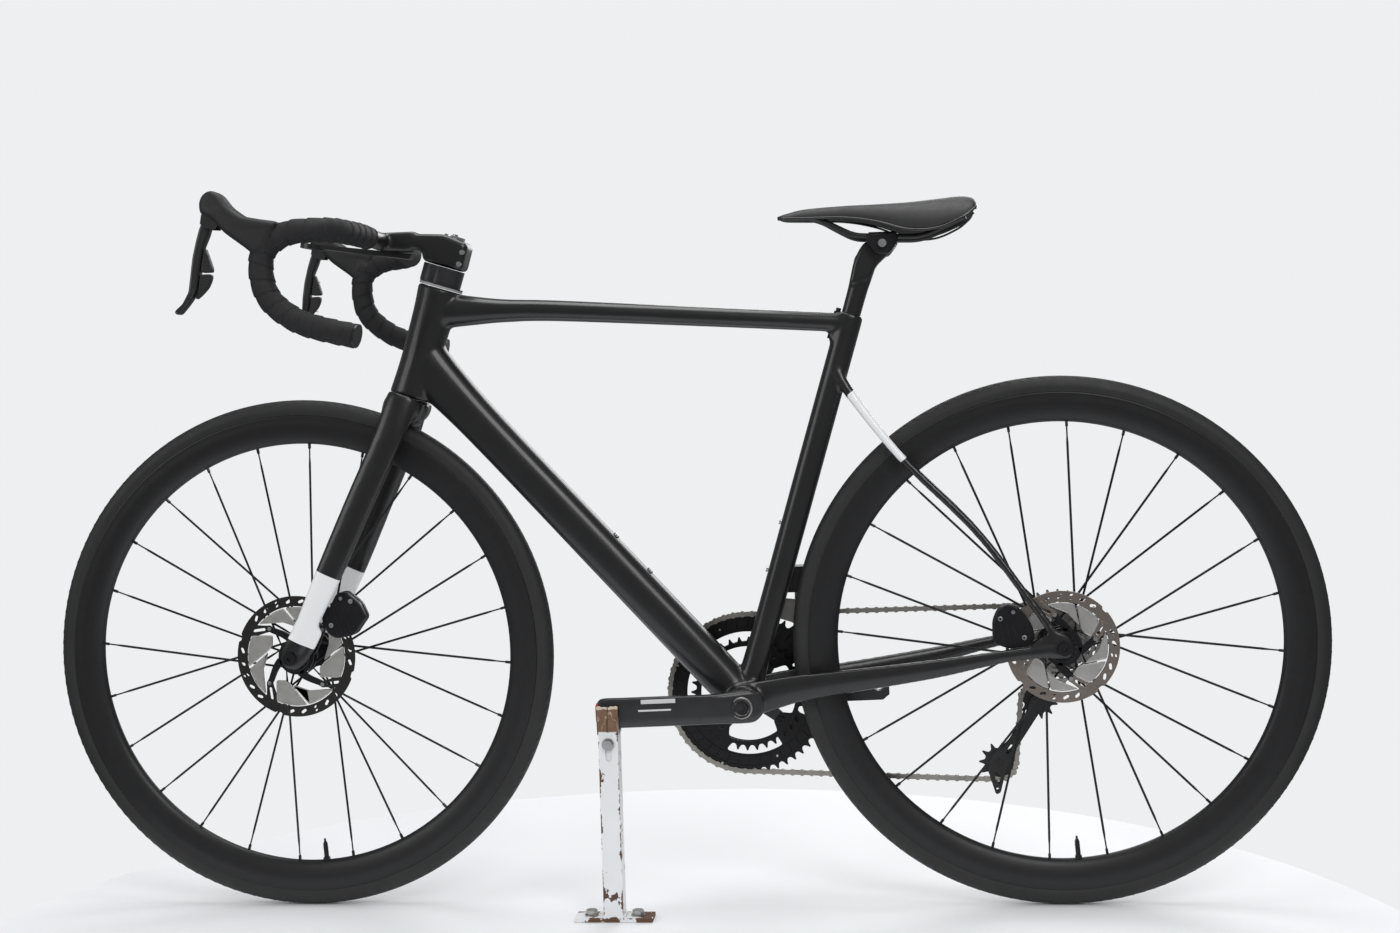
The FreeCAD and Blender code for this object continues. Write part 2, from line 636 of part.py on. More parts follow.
def headset_spacers():
    """Top cover that turns on the upper bearing, and the spacer stack."""
    cover_low = SEAL_GAP
    cover_high = 5.0
    cover = Part.makeCylinder(HEAD_TOP_R - 1, cover_high - cover_low, HEAD_TOP + STEER_UP * cover_low, STEER_UP)
    cover = cover.cut(Part.makeCylinder(STEERER_R + CLEAR, 12, HEAD_TOP - STEER_UP, STEER_UP))
    height = (STACK_H - cover_high) / SPACERS
    return [cover] + [steer_oval(cover_high + k * height, cover_high + (k + 1) * height) for k in range(SPACERS)]


BAR_ROUTE = [(BAR_X, 0, BAR_Z), (BAR_X, 60, BAR_Z), (BAR_X + 3, 118, BAR_Z - 0.5), (BAR_X + 10, 162, BAR_Z - 1),
             (BAR_X + 30, BAR_HALF - 3, BAR_Z - 2), (BAR_X + 66, BAR_HALF + 4, BAR_Z - 7),
             (BAR_X + 90, BAR_HALF + 6, BAR_Z - 25), (BAR_X + 94, BAR_HALF + 8, BAR_Z - 56),
             (BAR_X + 84, BAR_HALF + 10, BAR_Z - 84), (BAR_X + 57, BAR_HALF + 13, BAR_Z - 108),
             (BAR_X + 20, BAR_HALF + 15, BAR_Z - 123), (BAR_X - 23, BAR_HALF + 17, BAR_Z - 133)]
TAPE_START = 1                # tape starts at this point of the bar's route


def half_bar(radius):
    return pipe(BAR_ROUTE, radius)


def handlebar():
    """One-piece hollow stem and drop bar."""
    bar = half_bar(BAR_R)
    bar = bar.fuse(mirrored(bar))
    stem = steer_outline([(-25, STACK_H), (30, STACK_H), (33, STACK_H + 12), (58, STACK_H + 10), (62, STACK_H + 24),
                          (48, STACK_H + 32), (10, STACK_H + STEM_H + 6), (-24, STACK_H + STEM_H + 2)], -20, 20)
    neck = prism_y([(325, 866), (BAR_X, BAR_Z - BAR_R), (BAR_X + 8, BAR_Z - 6), (BAR_X + 8, BAR_Z + 8),
                    (BAR_X, BAR_Z + BAR_R), (320, 893)], -20, 20)
    solid = bar.fuse(stem).fuse(neck)
    inner = half_bar(BAR_R - BAR_WALL)
    hollow = inner.fuse(mirrored(inner))
    bore = Part.makeCylinder(STEERER_R + CLEAR, STEM_H + 40, HEAD_TOP + STEER_UP * (STACK_H - 2), STEER_UP)
    return solid.cut(hollow).cut(bore)


def stem_bolts():
    """Preload cap on top and the two clamp bolts at the rear."""
    top = HEAD_TOP + STEER_UP * (STACK_H + STEM_H + 2.2)
    cap = Part.makeCylinder(STEERER_R - 0.5, 5, top, STEER_UP)
    cap = cap.fuse(Part.makeCylinder(3.5, 7.5, top, STEER_UP)).cut(Part.makeCylinder(2.2, 4, top + STEER_UP * 4, STEER_UP))
    bolts = [cap]
    for height in (STACK_H + 9, STACK_H + 25):
        at = HEAD_TOP - STEER_FWD * 20 + STEER_UP * height
        bolts.append(cyl_y(at.x, at.z, 20, 21.5, 3.4))
    return bolts


# ---- levers
HOOD_TOP = [(434.0, 891.0), (458.0, 893.5), (480.0, 898.0), (497.0, 911.0), (509.0, 927.0), (519.0, 931.5),
            (530.0, 927.0), (537.0, 916.0), (536.0, 903.0), (531.0, 899.0), (517.0, 893.0), (503.0, 877.0),
            (487.0, 865.0), (476.0, 857.0), (470.0, 848.0), (452.0, 848.0)]
LEVER_Y = BAR_HALF + 7
LEVER_HALF = 6.5
PIN_R = 2.5
HOOD_HALF = 17.0
CORE_HALF = 11.0


def hood_outline(half, low=0.0):
    return prism_y([(x + low * 0.2, z + low) for x, z in HOOD_TOP], LEVER_Y - half, LEVER_Y + half)


def lever_core():
    """Lever body inside the hood, with the fork that carries the lever's pin."""
    outline = [(478.0, 870.0), (500.0, 880.0), (515.0, 893.0), (523.0, 898.0), (529.0, 905.0), (529.0, 918.0),
               (519.0, 925.0), (500.0, 902.0), (480.0, 892.0)]
    body = prism_y(outline, LEVER_Y - CORE_HALF, LEVER_Y + CORE_HALF)
    px, pz = LEVER_PIVOT
    ears = prism_y([(507.0, 893.0), (516.0, 883.0), (px, pz - 6), (px + 6, pz), (px + 4, pz + 11), (517.0, 902.0)],
                   LEVER_Y - CORE_HALF, LEVER_Y + CORE_HALF)
    slot = prism_y([(512.0, 905.5), (509.0, 872.0), (px + 12, pz - 16), (px + 12, pz + 9.0), (px, pz + 9.0)],
                   LEVER_Y - LEVER_HALF - GAP, LEVER_Y + LEVER_HALF + GAP)
    pin = cyl_y(px, pz, LEVER_Y - CORE_HALF, LEVER_Y + CORE_HALF, PIN_R)
    return body.fuse(ears).cut(slot).fuse(pin)


def hoods(core, bar_outer):
    """Rubber cover over the lever body."""
    px, pz = LEVER_PIVOT
    room = prism_y([(505.0, 898.0), (503.0, 868.0), (px + 14, pz - 18), (px + 14, pz + 11), (px - 4, pz + 11)],
                   LEVER_Y - CORE_HALF - 0.1, LEVER_Y + CORE_HALF + 0.1)
    hood = hood_outline(HOOD_HALF).cut(bar_outer).cut(core).cut(room)
    return max(hood.Solids, key=lambda s: s.Volume)


def brake_lever():
    """Curved lever blade with its pivot boss."""
    px, pz = LEVER_PIVOT
    boss = cyl_y(px, pz, LEVER_Y - LEVER_HALF, LEVER_Y + LEVER_HALF, 6.5)
    blade = prism_y([(px - 6, pz - 1), (px + 6.4, pz), (534.0, 860.0), (541.0, 830.0), (552.0, 805.0),
                     (567.0, 786.0), (566.0, 781.0), (559.0, 780.0), (545.0, 796.0), (534.0, 812.0),
                     (527.0, 834.0), (522.0, 860.0)], LEVER_Y - LEVER_HALF, LEVER_Y + LEVER_HALF)
    return boss.fuse(blade).cut(cyl_y(px, pz, LEVER_Y - 20, LEVER_Y + 20, PIN_R + CLEAR))


UPPER_PADDLE = [(521.6, 860.0), (513.5, 857.0), (511.5, 838.0), (519.0, 826.0), (526.6, 834.0)]
LOWER_PADDLE = [(519.5, 824.5), (515.0, 812.0), (522.0, 798.0), (531.0, 801.0), (533.4, 811.8), (527.2, 831.5)]


def paddle(outline):
    """Thin shift paddle just behind the lever blade."""
    moved = [(x - GAP, z) for x, z in outline]
    return prism_y(moved, LEVER_Y - 4, LEVER_Y + 5)


# ---- brakes
def caliper(x, y, disc_r, outline, pad_at):
    """Caliper body with a slot for the disc, and its two pads."""
    body = prism_y(outline, y - 11, y + 10)
    room_half = DISC_T / 2 + PAD_GAP + PAD_T + 1.0
    slot = cyl_y(x, AXLE_Z, y - room_half, y + room_half, disc_r + 2)
    body = body.cut(slot)
    pads = []
    for side in (-1, 1):
        face = y + side * (DISC_T / 2 + PAD_GAP)
        low, high = sorted((face, face + side * PAD_T))
        backing = cyl_y(pad_at[0], pad_at[1], low, high, 8)
        stub_low, stub_high = sorted((face + side * PAD_T, y + side * room_half))
        pads.append(backing.fuse(cyl_y(pad_at[0], pad_at[1], stub_low, stub_high, 6)))
    return body, pads


FRONT_CALIPER = [(397.0, 389.0), (404.0, 380.0), (414.0, 366.0), (440.0, 362.0), (452.0, 372.0), (452.0, 392.0),
                 (436.0, 422.0), (424.0, 424.0), (405.0, 408.0)]
REAR_CALIPER = [(-411.0, 345.0), (-411.0, 372.0), (-418.0, 388.0), (-431.0, 395.0), (-444.0, 389.0),
                (-458.0, 370.0), (-463.0, 352.0), (-455.0, 340.0), (-430.0, 338.0)]


# ---- crank
def crank_frame(x, z, degrees, shape):
    """Turn a shape made along +X from the crank axis to an arm's direction."""
    shape.rotate(V(0, 0, 0), V(0, 1, 0), -degrees)
    shape.translate(V(x, 0, z))
    return shape


def crank_arm():
    """Arm along +X on the left side, about the crank axis."""
    reach = CRANK_LENGTH
    back = 26.0
    half_b = CRANK_BB_H / 2
    half_e = CRANK_END_H / 2
    plan = [(-back, 49.0), (-back, 70.0), (18.0, 74.0), (40.0, CRANK_OUTER_Y), (reach + 14, CRANK_OUTER_Y),
            (reach + 14, CRANK_INNER_Y), (60.0, CRANK_INNER_Y), (20.0, 49.0)]
    side = [(-back, -10.0), (-back, 10.0), (-16.0, half_b), (8.0, half_b), (50.0, half_e), (reach + 5, half_e),
            (reach + 14, half_e - 7), (reach + 14, -half_e + 7), (reach + 5, -half_e), (50.0, -half_e),
            (8.0, -half_b), (-16.0, -half_b)]
    flat = [V(x, y, -50) for x, y in plan]
    seen_from_above = Part.Face(Part.makePolygon(flat + [flat[0]])).extrude(V(0, 0, 100))
    arm = seen_from_above.common(prism_y(side, 40, 90))
    arm = arm.cut(cyl_y(reach, 0, 40, 90, PEDAL_THREAD_R))
    hollow = block(32, reach - 22, CRANK_INNER_Y + 2, CRANK_OUTER_Y - 3, -half_e + 3.5, half_e - 3.5)
    return arm.cut(hollow).cut(cyl_y(0, 0, 40, 90, SPINDLE_R))


SPIDER_PHASE = 40.0


def spider():
    """Four-arm carrier for the chainrings, with the bolt eyes."""
    low = OUTER_RING_Y + TOOTH_T / 2
    high = INNER_RING_Y - TOOTH_T / 2
    shell_end = -BB_SHELL_HALF - GAP
    body = cyl_y(0, 0, -50, shell_end, 20)
    for k in range(4):
        cx, cz = polar(0, 0, RING_BCD_R, SPIDER_PHASE + 90 * k)
        arm = cyl_y(cx, cz, low, high, 7.5)
        side = V(-cz, 0, cx)
        side.normalize()
        arm = arm.fuse(prism_y([(side.x * 12, side.z * 12), (cx + side.x * 7, cz + side.z * 7),
                                (cx - side.x * 7, cz - side.z * 7), (-side.x * 12, -side.z * 12)], low, high))
        body = body.fuse(arm)
    for k in range(4):
        cx, cz = polar(0, 0, RING_BCD_R, SPIDER_PHASE + 90 * k)
        body = body.cut(cyl_y(cx, cz, -60, -30, RING_BOLT_R))
    return body.cut(cyl_y(0, 0, shell_end, -30, BB_SHELL_R + 1))


def chainring(teeth, y, phase, bore):
    """Toothed ring with tabs inwards for the bolts."""
    ring = gear(teeth, 0, 0, y, TOOTH_T, phase, bore)
    for k in range(4):
        cx, cz = polar(0, 0, RING_BCD_R, SPIDER_PHASE + 90 * k)
        low = y - TOOTH_T / 2
        high = y + TOOTH_T / 2
        tab = cyl_y(cx, cz, low, high, 8)
        out = polar(0, 0, bore + 3, SPIDER_PHASE + 90 * k)
        side = V(-cz, 0, cx)
        side.normalize()
        if bore > RING_BCD_R:
            tab = tab.fuse(prism_y([(cx + side.x * 8, cz + side.z * 8), (out[0] + side.x * 12, out[1] + side.z * 12),
                                    (out[0] - side.x * 12, out[1] - side.z * 12),
                                    (cx - side.x * 8, cz - side.z * 8)], low, high))
        ring = ring.fuse(tab)
    for k in range(4):
        cx, cz = polar(0, 0, RING_BCD_R, SPIDER_PHASE + 90 * k)
        ring = ring.cut(cyl_y(cx, cz, -60, -30, RING_BOLT_R))
    return ring


def ring_bolts():
    bolts = []
    for k in range(4):
        cx, cz = polar(0, 0, RING_BCD_R, SPIDER_PHASE + 90 * k)
        bolts.append(cyl_y(cx, cz, OUTER_RING_Y - TOOTH_T / 2 - 1, INNER_RING_Y + TOOTH_T / 2 + 1, RING_BOLT_R))
    return bolts


# ---- chain
def chain_route(tension):
    """Runs and arcs of the chain: (kind, data) with lengths counted in chain pitch."""
    wheels = [(V(REAR_X, 0, AXLE_Z), pitch_radius(DRIVE_COG), DRIVE_COG, 1),
              (V(BB_X, 0, BB_Z), pitch_radius(OUTER_TEETH), OUTER_TEETH, 1),
              (V(tension.x, 0, tension.z), pitch_radius(PULLEY_TEETH), PULLEY_TEETH, 1),
              (V(GUIDE.x, 0, GUIDE.z), pitch_radius(PULLEY_TEETH), PULLEY_TEETH, -1)]
    tangents = []
    for k in range(4):
        a, ra, ta, sa = wheels[k]
        b, rb, tb, sb = wheels[(k + 1) % 4]
        gap = b - a
        base = math.atan2(gap.z, gap.x)
        lean = math.acos((sa * ra - sb * rb) / gap.Length)
        at = base + lean
        n = V(math.cos(at), 0, math.sin(at))
        tangents.append((a + n * (sa * ra), b + n * (sb * rb)))
    pieces = []
    for k in range(4):
        centre, radius, teeth, sense = wheels[k]
        start, end = tangents[k]
        pieces.append(("run", start, end, (end - start).Length, k))
        centre, radius, teeth, sense = wheels[(k + 1) % 4]
        leave = tangents[(k + 1) % 4][0]
        a0 = math.atan2(end.z - centre.z, end.x - centre.x)
        a1 = math.atan2(leave.z - centre.z, leave.x - centre.x)
        swing = (a0 - a1) % (2 * math.pi) if sense > 0 else (a1 - a0) % (2 * math.pi)
        length = swing / (2 * math.pi) * teeth * PITCH
        pieces.append(("arc", centre, radius, length, (a0, -swing if sense > 0 else swing, k)))
    return pieces


def tension_at(degrees):
    x, z = polar(GUIDE.x, GUIDE.z, PULLEY_REACH, degrees)
    return V(x, DRIVE_Y, z)


def chain_length(degrees):
    return sum(piece[3] for piece in chain_route(tension_at(degrees)))


def cage_angle():
    """Angle of the pulley cage at which the chain has a whole even number of links."""
    guess = -56.0
    links = 2 * round(chain_length(guess) / PITCH / 2)
    low, high = guess - 30, guess + 30
    for _ in range(60):
        middle = (low + high) / 2
        if (chain_length(middle) > links * PITCH) == (chain_length(low) > links * PITCH):
            low = middle
        else:
            high = middle
    return low, links


CAGE_ANGLE, LINKS = cage_angle()
TENSION = tension_at(CAGE_ANGLE)
SPROCKET_Y = [DRIVE_Y, OUTER_RING_Y, DRIVE_Y, DRIVE_Y]


def chain_points():
    """Centre of every roller, in order round the loop."""
    pieces = chain_route(TENSION)
    points = []
    for k in range(LINKS):
        s = k * PITCH
        for kind, a, b, length, extra in pieces:
            if s <= length:
                break
            s -= length
        part = s / length
        if kind == "run":
            y0 = SPROCKET_Y[extra]
            y1 = SPROCKET_Y[(extra + 1) % 4]
            ease = part * part * (3 - 2 * part)
            spot = a + (b - a) * part
            points.append(V(spot.x, y0 + (y1 - y0) * ease, spot.z))
        else:
            start, swing, index = extra
            at = start + swing * part
            points.append(V(a.x + b * math.cos(at), SPROCKET_Y[(index + 1) % 4], a.z + b * math.sin(at)))
    return points


def sprocket_phase(points, centre, teeth):
    """Angle of a roller that lies on the given sprocket, in degrees."""
    radius = pitch_radius(teeth)
    nearest = min(points, key=lambda p: abs(math.hypot(p.x - centre.x, p.z - centre.z) - radius))
    return math.degrees(math.atan2(nearest.z - centre.z, nearest.x - centre.x))


PLATE_H = 4.0
LINK_T = 0.75
INNER_PLATE_Y = 1.05


def link_plate(y, width):
    """Flat plate around two pins, one pitch apart along X."""
    plate = cyl_y(0, 0, y, y + width, PLATE_H).fuse(cyl_y(PITCH, 0, y, y + width, PLATE_H))
    return plate.fuse(block(0, PITCH, y, y + width, -PLATE_H * 0.7, PLATE_H * 0.7)).removeSplitter()


def link_templates():
    """Inner link with rollers and outer link with pins."""
    pin_r = 1.75
    inner_y = INNER_PLATE_Y
    outer_y = inner_y + LINK_T + 0.05
    inner = link_plate(inner_y, LINK_T).fuse(link_plate(-inner_y - LINK_T, LINK_T))
    outer = link_plate(outer_y, LINK_T).fuse(link_plate(-outer_y - LINK_T, LINK_T))
    for x in (0, PITCH):
        inner = inner.fuse(cyl_y(x, 0, -inner_y, inner_y, ROLLER_R))
        outer = outer.fuse(cyl_y(x, 0, -outer_y, outer_y, pin_r))
    for x in (0, PITCH):
        inner = inner.cut(cyl_y(x, 0, -5, 5, pin_r + 0.04))
    return inner, outer


def chain(points):
    inner, outer = link_templates()
    links = []
    for k, start in enumerate(points):
        end = points[(k + 1) % LINKS]
        along = end - start
        across = V(0, 1, 0) - along * (along.y / along.Length ** 2)
        turn = FreeCAD.Rotation(along, across, along.cross(across), "XYZ")
        link = (inner if k % 2 else outer).copy()
        link.Placement = FreeCAD.Placement(start, turn)
        links.append(link)
    return links


# ---- cassette and derailleurs
CASSETTE_BORE = 17.0
FREEHUB_R = 16.0
WINDOW_TEETH = 19             # sprockets this large or larger are open between arms
COG_ARMS = 5
COG_ARM_HALF = 5.0


def cog_windows(teeth, y):
    """Cutters for the openings between the arms of a large sprocket."""
    inner = CASSETTE_BORE + 5
    outer = pitch_radius(teeth) - 8
    hoop = ring_y(REAR_X, AXLE_Z, y - TOOTH_T, y + TOOTH_T, outer, inner)
    for k in range(COG_ARMS):
        arm = block(0, outer + 1, y - TOOTH_T, y + TOOTH_T, -COG_ARM_HALF, COG_ARM_HALF)
        arm.rotate(V(0, 0, 0), V(0, 1, 0), 360 * k / COG_ARMS)
        arm.translate(V(REAR_X, 0, AXLE_Z))
        hoop = hoop.cut(arm)
    return hoop.Solids


def cassette(points):
    """Sprockets, spacers and the freehub body with its lock ring."""
    centre = V(REAR_X, 0, AXLE_Z)
    phase = sprocket_phase(points, centre, DRIVE_COG)
    solids = []
    for k, teeth in enumerate(COG_TEETH):
        y = SMALL_COG_Y + k * COG_PITCH
        bore = min(CASSETTE_BORE, max(FREEHUB_R, pitch_radius(teeth) - 5.6))
        cog = gear(teeth, REAR_X, AXLE_Z, y, TOOTH_T, phase, bore)
        solids.append(cog.cut(Part.makeCompound(cog_windows(teeth, y))) if teeth >= WINDOW_TEETH else cog)
    low = SMALL_COG_Y - TOOTH_T / 2
    high = SMALL_COG_Y + (len(COG_TEETH) - 1) * COG_PITCH + TOOTH_T / 2
    return solids, low, high


def freehub(low, high):
    tube_shape = ring_y(REAR_X, AXLE_Z, low - 1, high + 1, FREEHUB_R, 12.0)
    lock = ring_y(REAR_X, AXLE_Z, low - 3, low - 1, 18.0, 12.0)
    return [tube_shape, lock]


HANGER_BOLT = (-503.0, 309.0)
HANGER_T = 4.0
LINK_FOOT = V(-490.0, -74.0, 302.0)
LINK_LENGTH = 36.0
LINK_DOWN = 33.0              # degrees the links point down, in side view
SLANT = 48.0                  # degrees the pulley drops as it moves inwards
LINK_TILT = 14.0              # degrees the links lean inwards at rest
LINK_SPACE = 17.0


def slant_frame():
    """Unit vectors: mean link direction, direction of travel, pin direction."""
    down = math.radians(LINK_DOWN)
    slant = math.radians(SLANT)
    mean = V(math.cos(down), 0, -math.sin(down))
    below = V(-math.sin(down), 0, -math.cos(down))
    travel = V(0, 1, 0) * math.cos(slant) + below * math.sin(slant)
    return mean, travel, mean.cross(travel)


def rear_links():
    """Both links of the rear derailleur, and the four pin centres."""
    mean, travel, pin = slant_frame()
    tilt = math.radians(LINK_TILT)
    link = mean * (LINK_LENGTH * math.cos(tilt)) + travel * (LINK_LENGTH * math.sin(tilt))
    outer_foot = LINK_FOOT - travel * LINK_SPACE / 2
    inner_foot = LINK_FOOT + travel * LINK_SPACE / 2
    return outer_foot, outer_foot + link, inner_foot, inner_foot + link, pin


def link_bar(foot, head, pin, half):
    """Flat bar with an eye at each end, its pins along the pin direction."""
    body = cyl(foot - pin * half, foot + pin * half, 4.5).fuse(cyl(head - pin * half, head + pin * half, 4.5))
    along = head - foot
    side = along.cross(pin)
    side.normalize()
    corners = [foot + side * 2.5 - pin * half, head + side * 2.5 - pin * half,
               head - side * 2.5 - pin * half, foot - side * 2.5 - pin * half]
    web = Part.Face(Part.makePolygon(corners + [corners[0]])).extrude(pin * (2 * half))
    body = body.fuse(web)
    for spot in (foot, head):
        body = body.cut(cyl(spot - pin * 20, spot + pin * 20, 1.5 + CLEAR))
    return body


PIN_HALF = 6.0                # half length of a link along its pins
CHEEK_T = 4.0


def cheek_plate(first, second, centre, pin):
    """Flat plate round two pin centres, across the pin direction."""
    half = pin * (CHEEK_T / 2)
    across = (second - first).cross(pin)
    across.normalize()
    corners = [first + across * 5, second + across * 5, second - across * 5, first - across * 5]
    corners = [c + centre - half for c in corners]
    plate = Part.Face(Part.makePolygon(corners + [corners[0]])).extrude(half * 2)
    for spot in (first, second):
        plate = plate.fuse(cyl(spot + centre - half, spot + centre + half, 5.0))
    return plate


def knuckle(first, second, pin):
    """Two cheeks joined by the pins of both links."""
    offset = PIN_HALF + GAP + CHEEK_T / 2
    body = cheek_plate(first, second, pin * offset, pin).fuse(cheek_plate(first, second, pin * -offset, pin))
    for spot in (first, second):
        body = body.fuse(cyl(spot - pin * offset, spot + pin * offset, 1.5))
    return body


def eye_room(spot, pin):
    """Room in which a link's eye turns between the cheeks."""
    half = pin * (PIN_HALF + GAP)
    return cyl(spot - half, spot + half, 4.5 + 2 * GAP)


def hanger():
    """Replaceable hanger that carries the rear derailleur under the right dropout."""
    face = -REAR_OLD / 2
    x, z = HANGER_BOLT
    body = cyl_y(REAR_X, AXLE_Z, face - HANGER_T, face, 11.5).fuse(cyl_y(x, z, face - HANGER_T, face, 8.5))
    body = body.fuse(prism_y([(REAR_X - 9, AXLE_Z), (REAR_X + 8, AXLE_Z), (x + 8, z), (x - 8, z)],
                             face - HANGER_T, face))
    return body.cut(cyl_y(REAR_X, AXLE_Z, -90, -60, AXLE_R + CLEAR))


def b_knuckle():
    """Fixed end of the rear derailleur, bolted to the hanger."""
    outer_foot, _, inner_foot, _, pin = rear_links()
    body = knuckle(outer_foot, inner_foot, pin)
    x, z = HANGER_BOLT
    high = -REAR_OLD / 2 - HANGER_T
    body = body.fuse(cyl_y(x, z, high - 13, high, 8.5))
    cheek = outer_foot - pin * (PIN_HALF + GAP + CHEEK_T / 2)
    web = cyl(V(x, high - 7, z), cheek, 3.8)
    return body.fuse(web.cut(eye_room(outer_foot, pin)).cut(eye_room(inner_foot, pin)))


BOSS_IN = 42.6                # inner end of the cage pivot boss, measured from the middle plane
BOSS_OUT = 72.0
CAGE_PIVOT_R = 4.0


def p_knuckle():
    """Moving end of the rear derailleur, with the cage pivot boss."""
    _, outer_head, _, inner_head, pin = rear_links()
    body = knuckle(outer_head, inner_head, pin)
    body = body.fuse(cyl_y(GUIDE.x, GUIDE.z, -BOSS_OUT, -BOSS_IN, 6.5))
    cheek = inner_head - pin * (PIN_HALF + GAP + CHEEK_T / 2)
    web = cyl(cheek, V(GUIDE.x, cheek.y, GUIDE.z), 3.5)
    body = body.fuse(web.cut(eye_room(outer_head, pin)).cut(eye_room(inner_head, pin)))
    return body.cut(cyl_y(GUIDE.x, GUIDE.z, -BOSS_IN - 16, -BOSS_IN + 1, CAGE_PIVOT_R + CLEAR))


PULLEY_BOLT_R = 2.5
PULLEY_FIT = 0.15
CAGE_OUT = DRIVE_Y - 6.0
CAGE_IN = DRIVE_Y + 5.0
CAGE_T = 1.4


def pulley(centre, points):
    """Toothed pulley with its hub."""
    phase = sprocket_phase(points, centre, PULLEY_TEETH)
    body = gear(PULLEY_TEETH, centre.x, centre.z, DRIVE_Y, TOOTH_T, phase, PULLEY_BOLT_R + PULLEY_FIT)
    return body.fuse(ring_y(centre.x, centre.z, DRIVE_Y - 3, DRIVE_Y + 3, 6.5, PULLEY_BOLT_R + PULLEY_FIT))


def cage():
    """Both cage plates, the pulley bolts and the pivot stub."""
    along = V(TENSION.x - GUIDE.x, 0, TENSION.z - GUIDE.z)
    along.normalize()
    side = V(along.z, 0, -along.x)
    def at(centre, a, b):
        p = centre + along * a + side * b
        return p.x, p.z
    outline = [at(GUIDE, -9, -6), at(GUIDE, -9, 6), at(GUIDE, 8, 10), at(TENSION, -20, 9), at(TENSION, 2, 12),
               at(TENSION, 33, 22), at(TENSION, 38, 18), at(TENSION, 14, -10), at(TENSION, -4, -12),
               at(TENSION, -30, -4), at(GUIDE, 20, -4), at(GUIDE, 6, -10)]
    body = prism_y(outline, CAGE_OUT, CAGE_OUT + CAGE_T).fuse(prism_y(outline, CAGE_IN - CAGE_T, CAGE_IN))
    for centre in (GUIDE, TENSION):
        body = body.fuse(cyl_y(centre.x, centre.z, CAGE_OUT, CAGE_IN, PULLEY_BOLT_R))
    return body.fuse(cyl_y(GUIDE.x, GUIDE.z, -BOSS_IN - 12, CAGE_OUT, CAGE_PIVOT_R))


# ---- front derailleur
SHIFT_TRAVEL = 7.5
CAGE_FROM = 68.0
CAGE_TO = 126.0
FD_X = -172.0
FD_LOW = 404.0
FD_HIGH = 438.0


def ring_sector(y0, y1, inner, outer, start, end):
    """Part of a flat ring about the crank axis."""
    whole = ring_y(BB_X, BB_Z, y0, y1, outer, inner)
    steps = 8
    corners = [(BB_X, BB_Z)]
    for k in range(steps + 1):
        corners.append(polar(BB_X, BB_Z, outer * 1.3, start + (end - start) * k / steps))
    return whole.common(prism_y(corners, y0 - 1, y1 + 1))


def front_cage():
    """Two plates over the chain, joined above it and below its run at the tail, with the carrier arm."""
    tip = pitch_radius(OUTER_TEETH) + TOOTH_H
    high = tip + 20
    outer_y = OUTER_RING_Y - 5.0
    inner_y = OUTER_RING_Y + 4.6
    outer = ring_sector(outer_y - 1.2, outer_y, tip + 2.5, high, CAGE_FROM, CAGE_TO)
    inner = ring_sector(inner_y, inner_y + 1.2, tip - 11, high, CAGE_FROM + 8, CAGE_TO)
    top = ring_sector(outer_y, inner_y, high - 1.5, high, 82, 108)
    tail = ring_sector(outer_y, inner_y, tip + 2.5, tip + 12, CAGE_TO - 1.2, CAGE_TO)
    arm = block(FD_X, FD_X + 12, inner_y, inner_y + 6, BB_Z + high * 0.76, FD_LOW - GAP)
    return outer.fuse(inner).fuse(top).fuse(tail).fuse(arm)


def front_derailleur(frame):
    """Motor body and the bracket that bolts it to the seat tube."""
    body = block(FD_X - 4, FD_X + 22, -58, -27, FD_LOW, FD_HIGH)
    bracket = block(FD_X + 14, FD_X + 40, -30, -12, FD_LOW + 8, FD_HIGH - 6)
    return body.fuse(bracket).cut(outer_frame(frame))


# ---- seatpost and saddle
HEAD_HALF = 13.7
HEAD_OUTLINE = [(-240.0, 797.0), (-250.0, 832.0), (-265.0, 856.5), (-308.0, 856.0), (-298.5, 840.0),
                (-281.0, 831.0), (-268.0, 806.0)]
CLAMP_BOLT_R = 3.0


def seatpost():
    """Oval post with its forged head."""
    stub = 48.0
    post = seat_bar(POST_HALF, POST_WIDTH, -POST_INSERT, stub)
    head = prism_y(HEAD_OUTLINE, -HEAD_HALF, HEAD_HALF)
    hollow = seat_bar(POST_HALF - 2.0, POST_WIDTH - 2.0, -POST_INSERT - 1, 10)
    bore = cyl_y(CLAMP_BOLT[0], CLAMP_BOLT[1], -40, 40, CLAMP_BOLT_R + CLEAR)
    return post.fuse(head).cut(hollow).cut(bore)


def wedge():
    """Clamping wedge with its screw, in front of the post."""
    body = along_seat(POST_HALF + POST_FIT, -WEDGE_HALF, WEDGE_HALF, WEDGE_LOW + POST_FIT, WEDGE_DEPTH - POST_FIT,
                      -WEDGE_LOW - 2)
    at = SEAT_TOP + SEAT_FWD * (POST_HALF + WEDGE_DEPTH / 2)
    screw = cyl(at + SEAT_UP * -4, at + SEAT_UP * 3, 3.2)
    socket = cyl(at, at + SEAT_UP * 4, 1.7)
    return body.fuse(screw).cut(socket)


RAIL_ROUTE = [(-196.0, 9.0, 889.5), (-212.0, 11.0, 884.5), (-232.0, 17.0, 873.0), (-252.0, RAIL_Y, 862.5),
              (-287.0, RAIL_Y + 0.2, 860.0), (-336.0, RAIL_Y, 858.0), (-364.0, RAIL_Y + 3, 868.5),
              (-392.0, RAIL_Y + 9, 880.0)]


def rails(radius):
    left = pipe(RAIL_ROUTE, radius)
    return [left, mirrored(left)]


